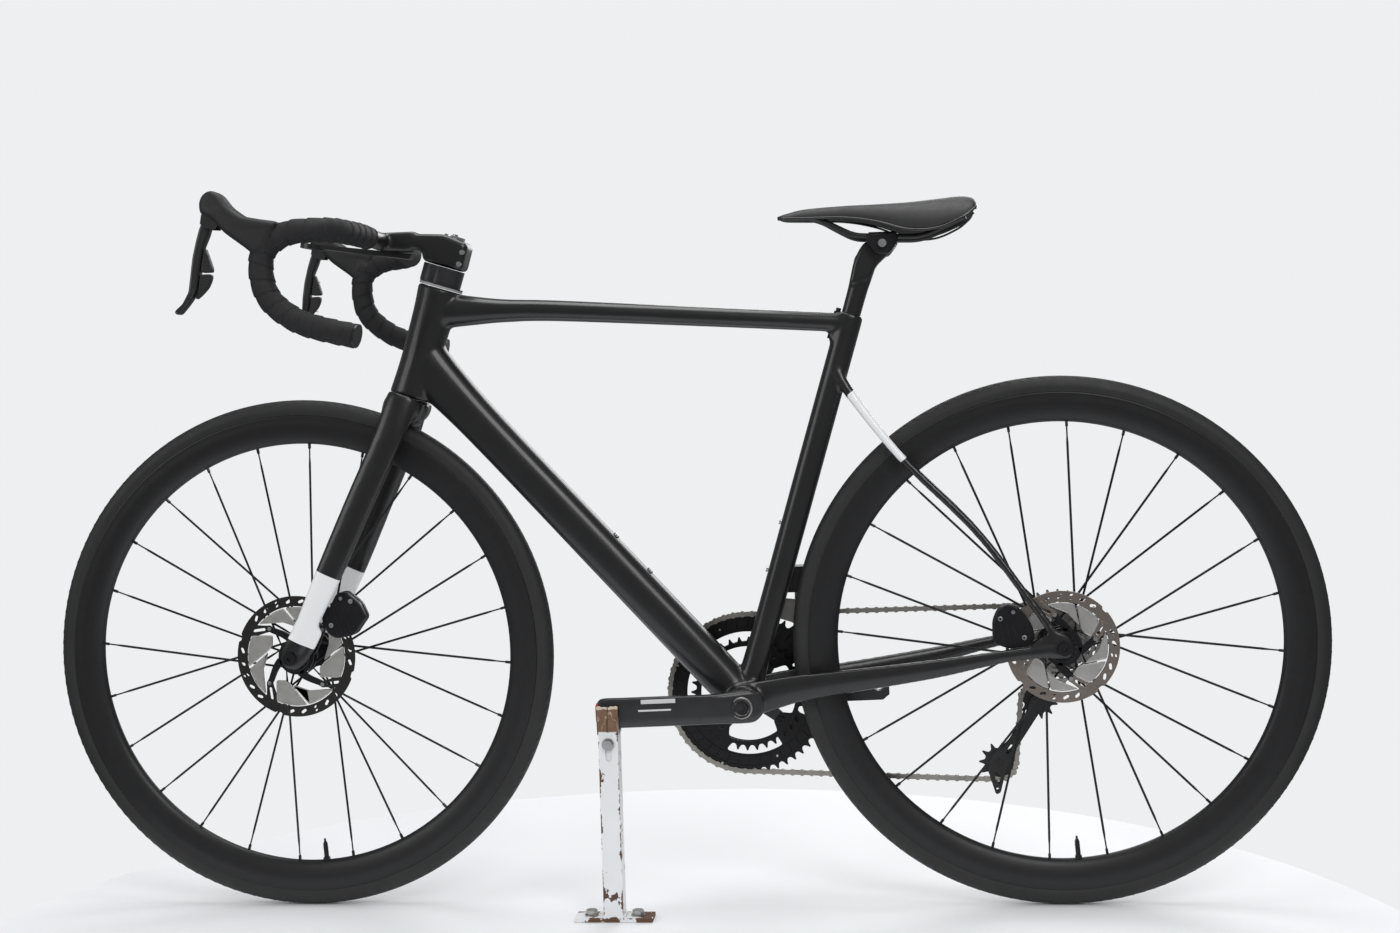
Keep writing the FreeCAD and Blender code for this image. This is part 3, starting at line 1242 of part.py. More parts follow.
SADDLE_STATIONS = [(-156.0, 893.5, 889.0, 888.5, 12.0), (-166.0, 899.0, 887.5, 888.0, 17.0),
                   (-190.0, 905.0, 886.5, 888.0, 19.5), (-240.0, 903.0, 885.0, 887.5, 24.0),
                   (-280.0, 902.5, 878.0, 887.0, 35.0), (-320.0, 902.8, 862.0, 886.5, 54.0),
                   (-355.0, 904.8, 862.5, 886.5, 67.0), (-385.0, 906.8, 874.0, 888.0, SADDLE_HALF),
                   (-404.0, 902.0, 890.0, 893.0, 58.0)]


def saddle():
    """Padded shell, arched below so that its skirts hang beside the rails."""
    wires = []
    for x, top, low, under, half in SADDLE_STATIONS:
        lip = min(5.0, half * 0.3)
        room = min(13.0, half * 0.5)
        right = [(half, low), (half * 0.97, low + (top - low) * 0.6), (half * 0.72, top - 1.5), (half * 0.3, top)]
        below = [(half - lip, low), (half - room, under)]
        loop = right + [(-y, z) for y, z in reversed(right)] + [(-y, z) for y, z in below] + below[::-1]
        corners = [V(x, y, z) for y, z in loop]
        wires.append(Part.makePolygon(corners + [corners[0]]))
    body = Part.makeLoft(wires, True, True)
    return body.cut(Part.makeCompound(rails(RAIL_R + 0.1)))


def saddle_clamp():
    """Two rail clamps and the cross bolt on which the saddle tilts."""
    x, z = CLAMP_BOLT
    solids = []
    near = HEAD_HALF + GAP
    outline = [(x - 21, z + 5), (x - 17, z - 5), (x + 17, z - 5), (x + 21, z + 5), (x + 19, z + 15), (x - 19, z + 15)]
    side = prism_y(outline, near, RAIL_Y + 5)
    side = side.cut(rails(RAIL_R + 0.02)[0]).cut(cyl_y(x, z, 0, 60, CLAMP_BOLT_R))
    cradle = max(side.Solids, key=lambda s: s.Volume)
    solids.extend([cradle, mirrored(cradle)])
    bolt = cyl_y(x, z, -RAIL_Y - 9, RAIL_Y + 9, CLAMP_BOLT_R)
    for low, high in ((RAIL_Y + 5, RAIL_Y + 9), (-RAIL_Y - 9, -RAIL_Y - 5)):
        bolt = bolt.fuse(cyl_y(x, z, low, high, 5.0))
    return solids + [bolt]


# ---- stand
STAND_Y = (CRANK_INNER_Y + CRANK_OUTER_Y) / 2
ARM_AT_STAND = BB_Z + (STAND_X - BB_X) * math.tan(math.radians(-CRANK_DROOP))
ARM_LOW = ARM_AT_STAND - CRANK_END_H / 2 - CUP_WIDTH / 2 * math.tan(math.radians(CRANK_DROOP))
CUP_FLOOR = ARM_LOW - GAP - LINING_T
CUP_IN = CRANK_INNER_Y - GAP - LINING_T
CUP_OUT = CRANK_OUTER_Y + GAP + LINING_T
POST_TOP = CUP_FLOOR - CUP_WALL


def stand_post():
    """Square tube welded to its base plate, with the clamp bolt's slot."""
    half = TUBE / 2
    inner = half - TUBE_WALL
    post = block(STAND_X - half, STAND_X + half, STAND_Y - half, STAND_Y + half, PLATE_T, POST_TOP)
    post = post.cut(block(STAND_X - inner, STAND_X + inner, STAND_Y - inner, STAND_Y + inner, PLATE_T, POST_TOP + 1))
    bolt_z = POST_TOP - BOLT_DROP
    low = bolt_z - SLOT_LENGTH
    width = STAND_BOLT_R + STEM_FIT
    slot = block(STAND_X - width, STAND_X + width, STAND_Y, STAND_Y + TUBE, low, bolt_z)
    slot = slot.fuse(cyl_y(STAND_X, bolt_z, STAND_Y, STAND_Y + TUBE, width))
    slot = slot.fuse(cyl_y(STAND_X, low, STAND_Y, STAND_Y + TUBE, width))
    post = post.cut(slot)
    plate = block(STAND_X - PLATE_LENGTH / 2, STAND_X + PLATE_LENGTH / 2, STAND_Y - PLATE_WIDTH / 2,
                  STAND_Y + PLATE_WIDTH / 2, 0, PLATE_T)
    for side in (-1, 1):
        plate = plate.cut(Part.makeCylinder(ANCHOR_R, 20, V(STAND_X + side * ANCHOR_SPACING / 2, STAND_Y, -5)))
    return post.fuse(plate)


def hexagon(centre, axis, across, height):
    """Hexagonal prism on a base point."""
    radius = across / math.sqrt(3)
    corners = [V(radius * math.cos(math.radians(60 * k)), radius * math.sin(math.radians(60 * k)), 0) for k in range(6)]
    solid = Part.Face(Part.makePolygon(corners + [corners[0]])).extrude(V(0, 0, height))
    solid.Placement = FreeCAD.Placement(centre, FreeCAD.Rotation(V(0, 0, 1), axis))
    return solid


def anchor_bolts():
    """Washer and hexagon bolt in each hole of the base plate."""
    solids = []
    for side in (-1, 1):
        foot = V(STAND_X + side * ANCHOR_SPACING / 2, STAND_Y, PLATE_T)
        washer = Part.makeCylinder(9, 1.5, foot).cut(Part.makeCylinder(ANCHOR_R, 3, foot - V(0, 0, 1)))
        shank = Part.makeCylinder(ANCHOR_R - 0.5, PLATE_T + 1.5, V(foot.x, foot.y, 0))
        solids.append(washer)
        solids.append(shank.fuse(hexagon(foot + V(0, 0, 1.5), V(0, 0, 1), 13, 5.5)))
    return solids


def cup():
    """U-shaped fork that holds the crank arm, on a bar that slides in the post."""
    x0 = STAND_X - CUP_WIDTH / 2
    x1 = STAND_X + CUP_WIDTH / 2
    body = block(x0, x1, CUP_IN - CUP_WALL, CUP_OUT + CUP_WALL, POST_TOP, CUP_FLOOR)
    for low, high in ((CUP_IN - CUP_WALL, CUP_IN), (CUP_OUT, CUP_OUT + CUP_WALL)):
        body = body.fuse(block(x0, x1, low, high, CUP_FLOOR, CUP_FLOOR + CUP_RISE))
    half = TUBE / 2 - TUBE_WALL - STEM_FIT
    stem = block(STAND_X - half, STAND_X + half, STAND_Y - half, STAND_Y + half, POST_TOP - STEM_LENGTH, POST_TOP)
    bolt_z = POST_TOP - BOLT_DROP
    return body.fuse(stem).cut(cyl_y(STAND_X, bolt_z, STAND_Y, STAND_Y + TUBE, STAND_BOLT_R))


def lining():
    """Leather strip folded inside the fork."""
    x0 = STAND_X - CUP_WIDTH / 2
    x1 = STAND_X + CUP_WIDTH / 2
    body = block(x0, x1, CUP_IN, CUP_OUT, CUP_FLOOR, CUP_FLOOR + LINING_T)
    for low in (CUP_IN, CUP_OUT - LINING_T):
        body = body.fuse(block(x0, x1, low, low + LINING_T, CUP_FLOOR, CUP_FLOOR + CUP_RISE))
    return body


def clamp_bolt():
    """Bolt and washer that lock the fork's height through the slot."""
    z = POST_TOP - BOLT_DROP
    face = STAND_Y + TUBE / 2 + STEM_FIT
    shank = cyl_y(STAND_X, z, STAND_Y + 1, face, STAND_BOLT_R)
    washer = cyl_y(STAND_X, z, face, face + 1.5, 8)
    return shank.fuse(washer).fuse(hexagon(V(STAND_X, face + 1.5, z), V(0, 1, 0), 11, 4.5))


def computer_mount(bar):
    """Arm and round cradle in front of the stem."""
    arm = prism_y([(BAR_X - 40, 864.0), (BAR_X - 36, 857.5), (BAR_X + 20, 866.0), (BAR_X + 98, 878.0),
                   (BAR_X + 98, 883.0), (BAR_X + 12, 871.5)], -9, 9)
    tilt = V(-0.17, 0, 0.985)
    cradle = Part.makeCylinder(16, 6.5, V(BAR_X + 98, 0, 876.5), tilt)
    return arm.fuse(cradle).cut(bar)


def both_sides(shapes):
    return [s for shape in shapes for s in (shape, mirrored(shape))]


def build_frame():
    frame = main_frame()
    stays = chain_stays(frame)
    hang = hanger()
    stays = [s.cut(hang) for s in stays]
    uppers = seat_stays(frame, stays)
    save("main_frame", frame)
    save("chain_stays", *stays)
    save("seat_stays", *uppers)
    save("headset_bearings", *headset_bearings())
    save("bottom_bracket_bearings", *bb_bearings())
    bolts = [boss_bolt(kind, s, BOSS_R, 5, 0.5).fuse(boss_bolt(kind, s, BOSS_R + BOSS_RIM, 0, 2.5)) for kind, s in BOSS_PLACES]
    save("bottle_cage_bolts", *bolts)
    save("seatpost_wedge", wedge())
    save("derailleur_hanger", hang)
    save("rear_axle", axle(REAR_X, REAR_OLD, REAR_OLD / 2 + DROPOUT_T))
    body, pads = caliper(REAR_X, REAR_DISC_Y, REAR_DISC_R, REAR_CALIPER, polar(REAR_X, AXLE_Z, 62, 28))
    for stay in stays + uppers:
        body = body.cut(stay)
    save("rear_caliper", max(body.Solids, key=lambda s: s.Volume), *pads)
    save("front_derailleur", front_derailleur(frame))
    save("front_derailleur_cage", front_cage())


def build_front_end():
    legs = fork()
    save("fork", legs)
    save("headset_spacers", *headset_spacers())
    bar = handlebar()
    save("handlebar", bar)
    save("stem_bolts", *stem_bolts())
    save("computer_mount", computer_mount(bar))
    save("front_axle", axle(FRONT_X, FRONT_OLD, FRONT_OLD / 2 + 10))
    core = lever_core().cut(half_bar(BAR_R))
    hood = hoods(core, half_bar(BAR_R))
    wrap = pipe(BAR_ROUTE[TAPE_START:], TAPE_R).cut(half_bar(BAR_R)).cut(hood_outline(HOOD_HALF + 3))
    save("bar_tape", *both_sides([s for s in wrap.Solids if s.Volume > 500]))
    end = V(*BAR_ROUTE[-1])
    out = end - V(*BAR_ROUTE[-2])
    out.normalize()
    plug = cyl(end, end + out * 3, TAPE_R - 1).fuse(cyl(end - out * 8, end, BAR_R - BAR_WALL))
    save("bar_end_plugs", *both_sides([plug]))
    save("lever_brackets", *both_sides([core]))
    save("lever_hoods", *both_sides([hood]))
    for side, place in (("left", lambda s: s), ("right", mirrored)):
        save(side + "_brake_lever", place(brake_lever()))
        save(side + "_upper_shift_paddle", place(paddle(UPPER_PADDLE)))
        save(side + "_lower_shift_paddle", place(paddle(LOWER_PADDLE)))
    body, pads = caliper(FRONT_X, FRONT_DISC_Y, FRONT_DISC_R, FRONT_CALIPER, polar(FRONT_X, AXLE_Z, 72, 147))
    save("front_caliper", max(body.cut(legs).Solids, key=lambda s: s.Volume), *pads)


def build_drivetrain():
    points = chain_points()
    save("chain", *chain(points))
    solids, low, high = cassette(points)
    save("cassette", *solids, *freehub(low, high))
    left = crank_frame(BB_X, BB_Z, -CRANK_DROOP, crank_arm())
    spindle = crank_frame(BB_X, BB_Z, -CRANK_DROOP, ring_y(0, 0, -74, 75, SPINDLE_R, SPINDLE_BORE_R))
    save("left_crank_arm", left)
    right = crank_frame(BB_X, BB_Z, 180 - CRANK_DROOP, mirrored(crank_arm()))
    hub = crank_frame(BB_X, BB_Z, -CRANK_DROOP, spider())
    save("right_crank_arm", right.fuse(hub).fuse(spindle))
    axis = V(BB_X, 0, BB_Z)
    phase = sprocket_phase(points, axis, OUTER_TEETH) + CRANK_DROOP
    outer = chainring(OUTER_TEETH, OUTER_RING_Y, phase, 72)
    inner = chainring(INNER_TEETH, INNER_RING_Y, phase, 62)
    save("chainrings", *[crank_frame(BB_X, BB_Z, -CRANK_DROOP, s) for s in [outer, inner] + ring_bolts()])
    save("rear_derailleur_knuckle", b_knuckle())
    save("rear_derailleur_outer_link", link_bar(*rear_links()[:2], rear_links()[4], PIN_HALF))
    save("rear_derailleur_inner_link", link_bar(*rear_links()[2:4], rear_links()[4], PIN_HALF))
    save("rear_derailleur_carrier", p_knuckle())
    save("pulley_cage", cage())
    save("guide_pulley", pulley(GUIDE, points))
    save("tension_pulley", pulley(TENSION, points))


def build_seat_and_stand():
    save("seatpost", seatpost())
    save("saddle", saddle())
    save("saddle_rails", *rails(RAIL_R))
    save("saddle_clamp", *saddle_clamp())
    save("stand_post", stand_post())
    save("stand_anchor_bolts", *anchor_bolts())
    save("stand_cup", cup())
    save("stand_cup_lining", lining())
    save("stand_clamp_bolt", clamp_bolt())


FRONT_FLANGES = (20.0, -36.0)  # left and right spoke flange, from the middle plane
REAR_FLANGES = (34.0, -17.0)
wheel("front", FRONT_X, FRONT_OLD, *FRONT_FLANGES, FRONT_DISC_Y, FRONT_DISC_R, 42.0, 11.0)
wheel("rear", REAR_X, REAR_OLD, *REAR_FLANGES, REAR_DISC_Y, REAR_DISC_R, 10.0, 12.0)
build_frame()
build_front_end()
build_drivetrain()
build_seat_and_stand()
print("chain links", LINKS, "cage angle", round(CAGE_ANGLE, 2), "tension pulley", round(TENSION.x, 4), round(TENSION.z, 4))
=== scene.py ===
import math
import random

import bmesh
import bpy
from mathutils import Matrix, Vector


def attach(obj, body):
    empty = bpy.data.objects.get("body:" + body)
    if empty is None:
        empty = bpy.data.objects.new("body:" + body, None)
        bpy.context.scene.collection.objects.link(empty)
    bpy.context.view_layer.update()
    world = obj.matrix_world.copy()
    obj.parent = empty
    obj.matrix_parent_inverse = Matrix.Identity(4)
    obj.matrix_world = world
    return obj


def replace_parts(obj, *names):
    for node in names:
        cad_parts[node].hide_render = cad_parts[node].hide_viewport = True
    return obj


# A road bicycle whose left crank arm rests in a small post stand.
# Lengths in the dictionaries are millimetres and meshes are metres. +X is forward, +Y is the rider's left.

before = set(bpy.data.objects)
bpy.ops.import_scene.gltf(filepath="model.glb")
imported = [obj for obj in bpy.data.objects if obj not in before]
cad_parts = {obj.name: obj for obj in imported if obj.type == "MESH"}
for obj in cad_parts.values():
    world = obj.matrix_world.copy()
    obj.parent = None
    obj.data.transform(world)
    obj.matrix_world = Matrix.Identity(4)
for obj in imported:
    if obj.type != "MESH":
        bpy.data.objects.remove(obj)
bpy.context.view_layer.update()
mm = 0.001
random.seed(7)


def newObject(name, mesh):
    obj = bpy.data.objects.new(name, mesh)
    bpy.context.scene.collection.objects.link(obj)
    return obj


# points in millimetres
def rawMesh(name, points, faces):
    mesh = bpy.data.meshes.new(name)
    mesh.from_pydata([(x * mm, y * mm, z * mm) for x, y, z in points], [], faces)
    shell = bmesh.new()
    shell.from_mesh(mesh)
    bmesh.ops.remove_doubles(shell, verts=shell.verts, dist=1e-6)
    bmesh.ops.recalc_face_normals(shell, faces=shell.faces)
    shell.to_mesh(mesh)
    shell.free()
    return mesh


# material, smooth shading and the body it rides on
def dress(obj, body, finish, sharp=35):
    obj.data.materials.clear()
    obj.data.materials.append(finish)
    obj.data.polygons.foreach_set("use_smooth", [True] * len(obj.data.polygons))
    obj.data.set_sharp_from_angle(angle=math.radians(sharp))
    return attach(obj, body)


def softEdge(obj, width, steps=2):  # width in millimetres
    edge = obj.modifiers.new("edge", "BEVEL")
    edge.width = width * mm
    edge.segments = steps
    edge.limit_method = "ANGLE"


def settle(obj):  # applies the modifiers
    bpy.context.view_layer.update()
    made = bpy.data.meshes.new_from_object(obj.evaluated_get(bpy.context.evaluated_depsgraph_get()))
    obj.modifiers.clear()
    old = obj.data
    obj.data = made
    bpy.data.meshes.remove(old)
    return obj


def gather(name, meshes):  # one object from several meshes
    whole = bmesh.new()
    for mesh in meshes:
        whole.from_mesh(mesh)
        bpy.data.meshes.remove(mesh)
    mesh = bpy.data.meshes.new(name)
    whole.to_mesh(mesh)
    whole.free()
    return newObject(name, mesh)


# one closed skin over overlapping parts, with soft joints
def skinOver(obj, voxel, rounds):
    skin = obj.modifiers.new("skin", "REMESH")
    skin.mode = "VOXEL"
    skin.voxel_size = voxel * mm
    soft = obj.modifiers.new("soft", "SMOOTH")
    soft.iterations = rounds
    return settle(obj)


def melt(name, meshes, voxel, rounds):
    return skinOver(gather(name, meshes), voxel, rounds)


def freeMesh(obj):  # the object's mesh, without the object
    mesh = obj.data.copy()
    bpy.data.objects.remove(obj)
    return mesh


def mirrorMesh(mesh):  # the same mesh on the other side of the middle plane
    other = mesh.copy()
    other.transform(Matrix.Scale(-1, 4, (0, 1, 0)))
    other.flip_normals()
    return other


def bothSides(mesh):
    return [mesh, mirrorMesh(mesh)]


def onSide(mesh, side):  # side is 1 for the left and -1 for the right
    return mesh if side > 0 else mirrorMesh(mesh)


def catmull(a, b, c, d, t):
    square = (2 * a - 5 * b + 4 * c - d) * t * t
    return 0.5 * (2 * b + (c - a) * t + square + (3 * b - a - 3 * c + d) * t ** 3)


# rows of numbers with smooth steps between them
def smoothRows(rows, between):
    rows = [tuple(r) for r in rows]
    if len(rows) == 2:
        return [tuple(a + (b - a) * k / between for a, b in zip(*rows)) for k in range(between + 1)]
    padded = [rows[0]] + rows + [rows[-1]]
    out = []
    for k in range(1, len(padded) - 2):
        for s in range(between):
            four = zip(padded[k - 1], padded[k], padded[k + 1], padded[k + 2])
            out.append(tuple(catmull(a, b, c, d, s / between) for a, b, c, d in four))
    out.append(rows[-1])
    return out


# faces between rings of the same length
def bridge(rings, closed=True, caps=True):
    count = len(rings[0])
    points = [p for ring in rings for p in ring]
    faces = []
    for r in range(len(rings) - 1):
        for k in range(count if closed else count - 1):
            n = (k + 1) % count
            faces.append((r * count + k, r * count + n, (r + 1) * count + n, (r + 1) * count + k))
    if caps:
        faces.append(tuple(reversed(range(count))))
        faces.append(tuple((len(rings) - 1) * count + k for k in range(count)))
    return points, faces


def oval(centre, along, deep, wide, count, power):
    along = Vector(along).normalized()
    side = (Vector((0, 1, 0)) - along * along.y).normalized()
    back = side.cross(along)
    ring = []
    for k in range(count):
        c = math.cos(2 * math.pi * k / count)
        s = math.sin(2 * math.pi * k / count)
        c = math.copysign(abs(c) ** (2 / power), c)
        s = math.copysign(abs(s) ** (2 / power), s)
        ring.append(Vector(centre) + back * (deep * c) + side * (wide * s))
    return ring


# rows: x, y, z, half depth, half width
def tube(name, rows, count=32, between=8, power=2.0):
    rows = smoothRows(rows, between)
    rings = []
    for k, row in enumerate(rows):
        ahead = Vector(rows[min(k + 1, len(rows) - 1)][:3])
        behind = Vector(rows[max(k - 1, 0)][:3])
        rings.append(oval(row[:3], ahead - behind, row[3], row[4], count, power))
    return rawMesh(name, *bridge(rings))


# round bar along a smooth path, radius may be a function of the share of its length
def rod(name, points, radius, count=14, between=6, caps=True, flat=1.0):
    path = [Vector(p) for p in (smoothRows(points, between) if len(points) > 2 else points)]
    spans = [0.0]
    for a, b in zip(path, path[1:]):
        spans.append(spans[-1] + (b - a).length)
    along = (path[1] - path[0]).normalized()
    side = along.orthogonal().normalized()
    if abs(along.y) <= 0.9:
        side = (Vector((0, 1, 0)) - along * along.y).normalized()
    rings = []
    for k, p in enumerate(path):
        along = (path[min(k + 1, len(path) - 1)] - path[max(k - 1, 0)]).normalized()
        side = (side - along * side.dot(along)).normalized()
        up = along.cross(side)
        r = radius(spans[k] / spans[-1]) if callable(radius) else radius
        turn = [2 * math.pi * j / count for j in range(count)]
        rings.append([p + side * (r * math.cos(t)) + up * (r * flat * math.sin(t)) for t in turn])
    return rawMesh(name, *bridge(rings, caps=caps))


# outline of (radius, y) points turned about the Y axis through x, z
def lathe(name, outline, x, z, steps=96, closed=True):
    rings = []
    for k in range(steps):
        a = 2 * math.pi * k / steps
        rings.append([(x + r * math.cos(a), y, z + r * math.sin(a)) for r, y in outline])
    rings.append(rings[0])
    return rawMesh(name, *bridge(rings, closed=closed, caps=False))


# flat plate in the XZ plane, its first loop the outline and the others holes
def plate(name, loops, y, thick, edge=0.2, smooth=1):
    curve = bpy.data.curves.new(name, "CURVE")
    curve.dimensions = "2D"
    curve.fill_mode = "BOTH"
    curve.extrude = max(thick / 2 - edge, 0.01) * mm
    curve.bevel_depth = edge * mm
    curve.bevel_resolution = smooth
    curve.offset = -edge * mm
    for loop in loops:
        spline = curve.splines.new("POLY")
        spline.points.add(len(loop) - 1)
        for point, (px, pz) in zip(spline.points, loop):
            point.co = (px * mm, pz * mm, 0, 1)
        spline.use_cyclic_u = True
    holder = newObject(name, curve)
    bpy.context.view_layer.update()
    mesh = bpy.data.meshes.new_from_object(holder.evaluated_get(bpy.context.evaluated_depsgraph_get()))
    bpy.data.objects.remove(holder)
    mesh.transform(Matrix(((1, 0, 0, 0), (0, 0, -1, y * mm), (0, 1, 0, 0), (0, 0, 0, 1))))
    return mesh


def polar(x, z, radius, degrees):
    a = math.radians(degrees)
    return x + radius * math.cos(a), z + radius * math.sin(a)


def circle(x, z, radius, count=20):
    return [polar(x, z, radius, 360 * k / count) for k in range(count)]


# short round bar between two points
def bar(start, end, radius, count=20):
    return rod("bar", [start, end], radius, count=count)


def hexBar(start, end, across):
    return rod("hex", [start, end], across / math.sqrt(3), count=6)


# thick outline in the XZ plane with rounded edges
def slab(name, outline, y0, y1, edge=0.8, steps=2):
    return plate(name, [outline], (y0 + y1) / 2, y1 - y0, edge, steps)


# corners of a flat outline cut round
def rounded(points, radius, steps=4):
    out = []
    for k, b in enumerate(points):
        a = Vector(points[k - 1])
        b = Vector(b)
        c = Vector(points[(k + 1) % len(points)])
        reach = min(radius, (a - b).length * 0.45, (c - b).length * 0.45)
        start = b + (a - b).normalized() * reach
        end = b + (c - b).normalized() * reach
        for s in range(steps + 1):
            t = s / steps
            out.append(tuple(start * (1 - t) ** 2 + b * 2 * t * (1 - t) + end * t * t))
    return out


# principled surface, its other sockets by name
def shader(name, colour, roughness, metallic=0.0, **sockets):
    finish = bpy.data.materials.new(name)
    finish.use_nodes = True
    surface = finish.node_tree.nodes["Principled BSDF"]
    surface.inputs["Base Color"].default_value = (*colour, 1)
    surface.inputs["Roughness"].default_value = roughness
    surface.inputs["Metallic"].default_value = metallic
    for socket, value in sockets.items():
        surface.inputs[socket.replace("_", " ")].default_value = value
    return finish, surface


def node(finish, kind, **values):
    made = finish.node_tree.nodes.new(kind)
    for key, value in values.items():
        if key in made.inputs:
            made.inputs[key].default_value = value
        else:
            setattr(made, key, value)
    return made


def join(finish, a, b):
    finish.node_tree.links.new(a, b)


# object coordinates, in metres of the bicycle's own frame
def place(finish, scale=(1, 1, 1)):
    coord = node(finish, "ShaderNodeTexCoord")
    mapping = node(finish, "ShaderNodeMapping")
    mapping.inputs["Scale"].default_value = scale
    join(finish, coord.outputs["Object"], mapping.inputs["Vector"])
    return mapping.outputs["Vector"]


def noise(finish, scale, detail=4.0, where=None, roughness=0.55):
    made = node(finish, "ShaderNodeTexNoise", Scale=scale, Detail=detail, Roughness=roughness)
    join(finish, where or place(finish), made.inputs["Vector"])
    return made.outputs["Fac"]


# a value from 0 to 1 moved to low to high
def spread(finish, value, low, high):
    made = node(finish, "ShaderNodeMapRange")
    made.inputs["To Min"].default_value = low
    made.inputs["To Max"].default_value = high
    join(finish, value, made.inputs["Value"])
    return made.outputs["Result"]


def mixColour(finish, factor, first, second):
    made = node(finish, "ShaderNodeMix", data_type="RGBA")
    for key, value in (("A", first), ("B", second)):
        socket = [s for s in made.inputs if s.name == key and s.type == "RGBA"][0]
        if isinstance(value, tuple):
            socket.default_value = (*value, 1)
        else:
            join(finish, value, socket)
    join(finish, factor, made.inputs[0])
    return [s for s in made.outputs if s.type == "RGBA"][0]


def bumpy(finish, surface, height, strength, distance):
    made = node(finish, "ShaderNodeBump", Strength=strength, Distance=distance)
    join(finish, height, made.inputs["Height"])
    join(finish, made.outputs["Normal"], surface.inputs["Normal"])


# one colour with fine variation in tone, gloss and surface
def plainFinish(name, colour, roughness, metallic=0.0, grain=900, bumps=0.08, **sockets):
    finish, surface = shader(name, colour, roughness, metallic, **sockets)
    cloud = noise(finish, 60, 3)
    paler = tuple(min(1.0, c * 1.15 + 0.002) for c in colour)
    darker = tuple(c * 0.85 for c in colour)
    join(finish, mixColour(finish, cloud, darker, paler), surface.inputs["Base Color"])
    gloss = spread(finish, noise(finish, 140, 4), roughness * 0.85, min(1, roughness * 1.2))
    join(finish, gloss, surface.inputs["Roughness"])
    bumpy(finish, surface, noise(finish, grain, 2), bumps, 0.0001)
    return finish


# metal with fine marks across the part
def brushed(name, colour, roughness, stretch=(900, 40, 900)):
    finish, surface = shader(name, colour, roughness, 1.0)
    marks = noise(finish, 1.0, 3, place(finish, stretch))
    worn = noise(finish, 55, 4)
    darker = tuple(c * 0.72 for c in colour)
    join(finish, mixColour(finish, worn, darker, colour), surface.inputs["Base Color"])
    join(finish, spread(finish, marks, roughness * 0.75, roughness * 1.4), surface.inputs["Roughness"])
    bumpy(finish, surface, marks, 0.12, 0.0001)
    return finish


# metres along a direction, from the object coordinates
def along(finish, direction):
    dot = node(finish, "ShaderNodeVectorMath", operation="DOT_PRODUCT")
    join(finish, place(finish), dot.inputs[0])
    dot.inputs[1].default_value = direction
    return dot.outputs["Value"]


def maths(finish, operation, *values):
    made = node(finish, "ShaderNodeMath", operation=operation)
    for socket, value in zip(made.inputs, values):
        if isinstance(value, (int, float)):
            socket.default_value = value
        else:
            join(finish, value, socket)
    return made.outputs[0]


def compare(finish, value, limit, above=True):
    return maths(finish, "GREATER_THAN" if above else "LESS_THAN", value, limit)


# 1 where every test holds, each a (direction, limit in millimetres, above)
def region(finish, tests):
    mask = 1.0
    for direction, limit, above in tests:
        mask = maths(finish, "MULTIPLY", mask, compare(finish, along(finish, direction), limit * mm, above))
    return mask


def away(finish, direction, middle):  # distance from a plane
    return maths(finish, "ABSOLUTE", maths(finish, "SUBTRACT", along(finish, direction), middle * mm))


# two close tones, varied gloss and a fine grain
def mottled(name, tones, cloud, gloss, grain):
    low, high, glossScale, glossDetail = gloss
    fine, fineDetail, strength, depth = grain
    finish, surface = shader(name, tones[1], high)
    join(finish, mixColour(finish, noise(finish, *cloud), *tones), surface.inputs["Base Color"])
    sheen = spread(finish, noise(finish, glossScale, glossDetail), low, high)
    join(finish, sheen, surface.inputs["Roughness"])
    bumpy(finish, surface, noise(finish, fine, fineDetail), strength, depth)
    return finish


carbonLook = {
    "colour": (0.006, 0.006, 0.007), "white": (0.80, 0.81, 0.82),
    "dark": (0.0045, 0.0045, 0.0052), "pale": (0.0085, 0.0085, 0.0095),
}


# satin black with white panels, each a list of (direction, limit, above)
def carbonFinish(name, panels=()):
    finish, surface = shader(name, carbonLook["colour"], 0.36, Coat_Weight=0.35, Coat_Roughness=0.16)
    colour = mixColour(finish, noise(finish, 18, 3), carbonLook["dark"], carbonLook["pale"])
    for panel in panels:
        colour = mixColour(finish, region(finish, panel), colour, carbonLook["white"])
    join(finish, colour, surface.inputs["Base Color"])
    join(finish, spread(finish, noise(finish, 35, 3), 0.31, 0.42), surface.inputs["Roughness"])
    bumpy(finish, surface, noise(finish, 700, 2), 0.04, 0.0001)
    return finish


finishes = {
    "alloy": plainFinish("black anodised alloy", (0.014, 0.014, 0.016), 0.36, 0.5, grain=2500),
    "plastic": plainFinish("black composite", (0.010, 0.010, 0.011), 0.48, grain=2200, bumps=0.15),
    "gloss": plainFinish("gloss black", (0.012, 0.012, 0.013), 0.16, Coat_Weight=0.4, Coat_Roughness=0.08),
    "rim": plainFinish("rim skin", (0.006, 0.006, 0.007), 0.40, grain=1400),
    "spoke": plainFinish("black spoke", (0.02, 0.02, 0.021), 0.35, 0.6),
    "steel": brushed("plain steel", (0.56, 0.55, 0.53), 0.32),
    "chain": brushed("worn chain", (0.43, 0.41, 0.375), 0.38, (500, 500, 500)),
    "track": brushed("brake track", (0.37, 0.325, 0.29), 0.36, (300, 20, 300)),
    # the front disc's brake track: the rear track's brushed steel darkened, as painted shade
    "shadedTrack": brushed("brake track in painted shade", (0.075, 0.072, 0.07), 0.36, (300, 20, 300)),
    "fin": brushed("disc cooling plate", (0.66, 0.65, 0.63), 0.42, (200, 20, 200)),
    "satin": brushed("satin steel", (0.60, 0.59, 0.57), 0.5),
    "bolt": brushed("zinc bolt", (0.62, 0.63, 0.64), 0.28),
}


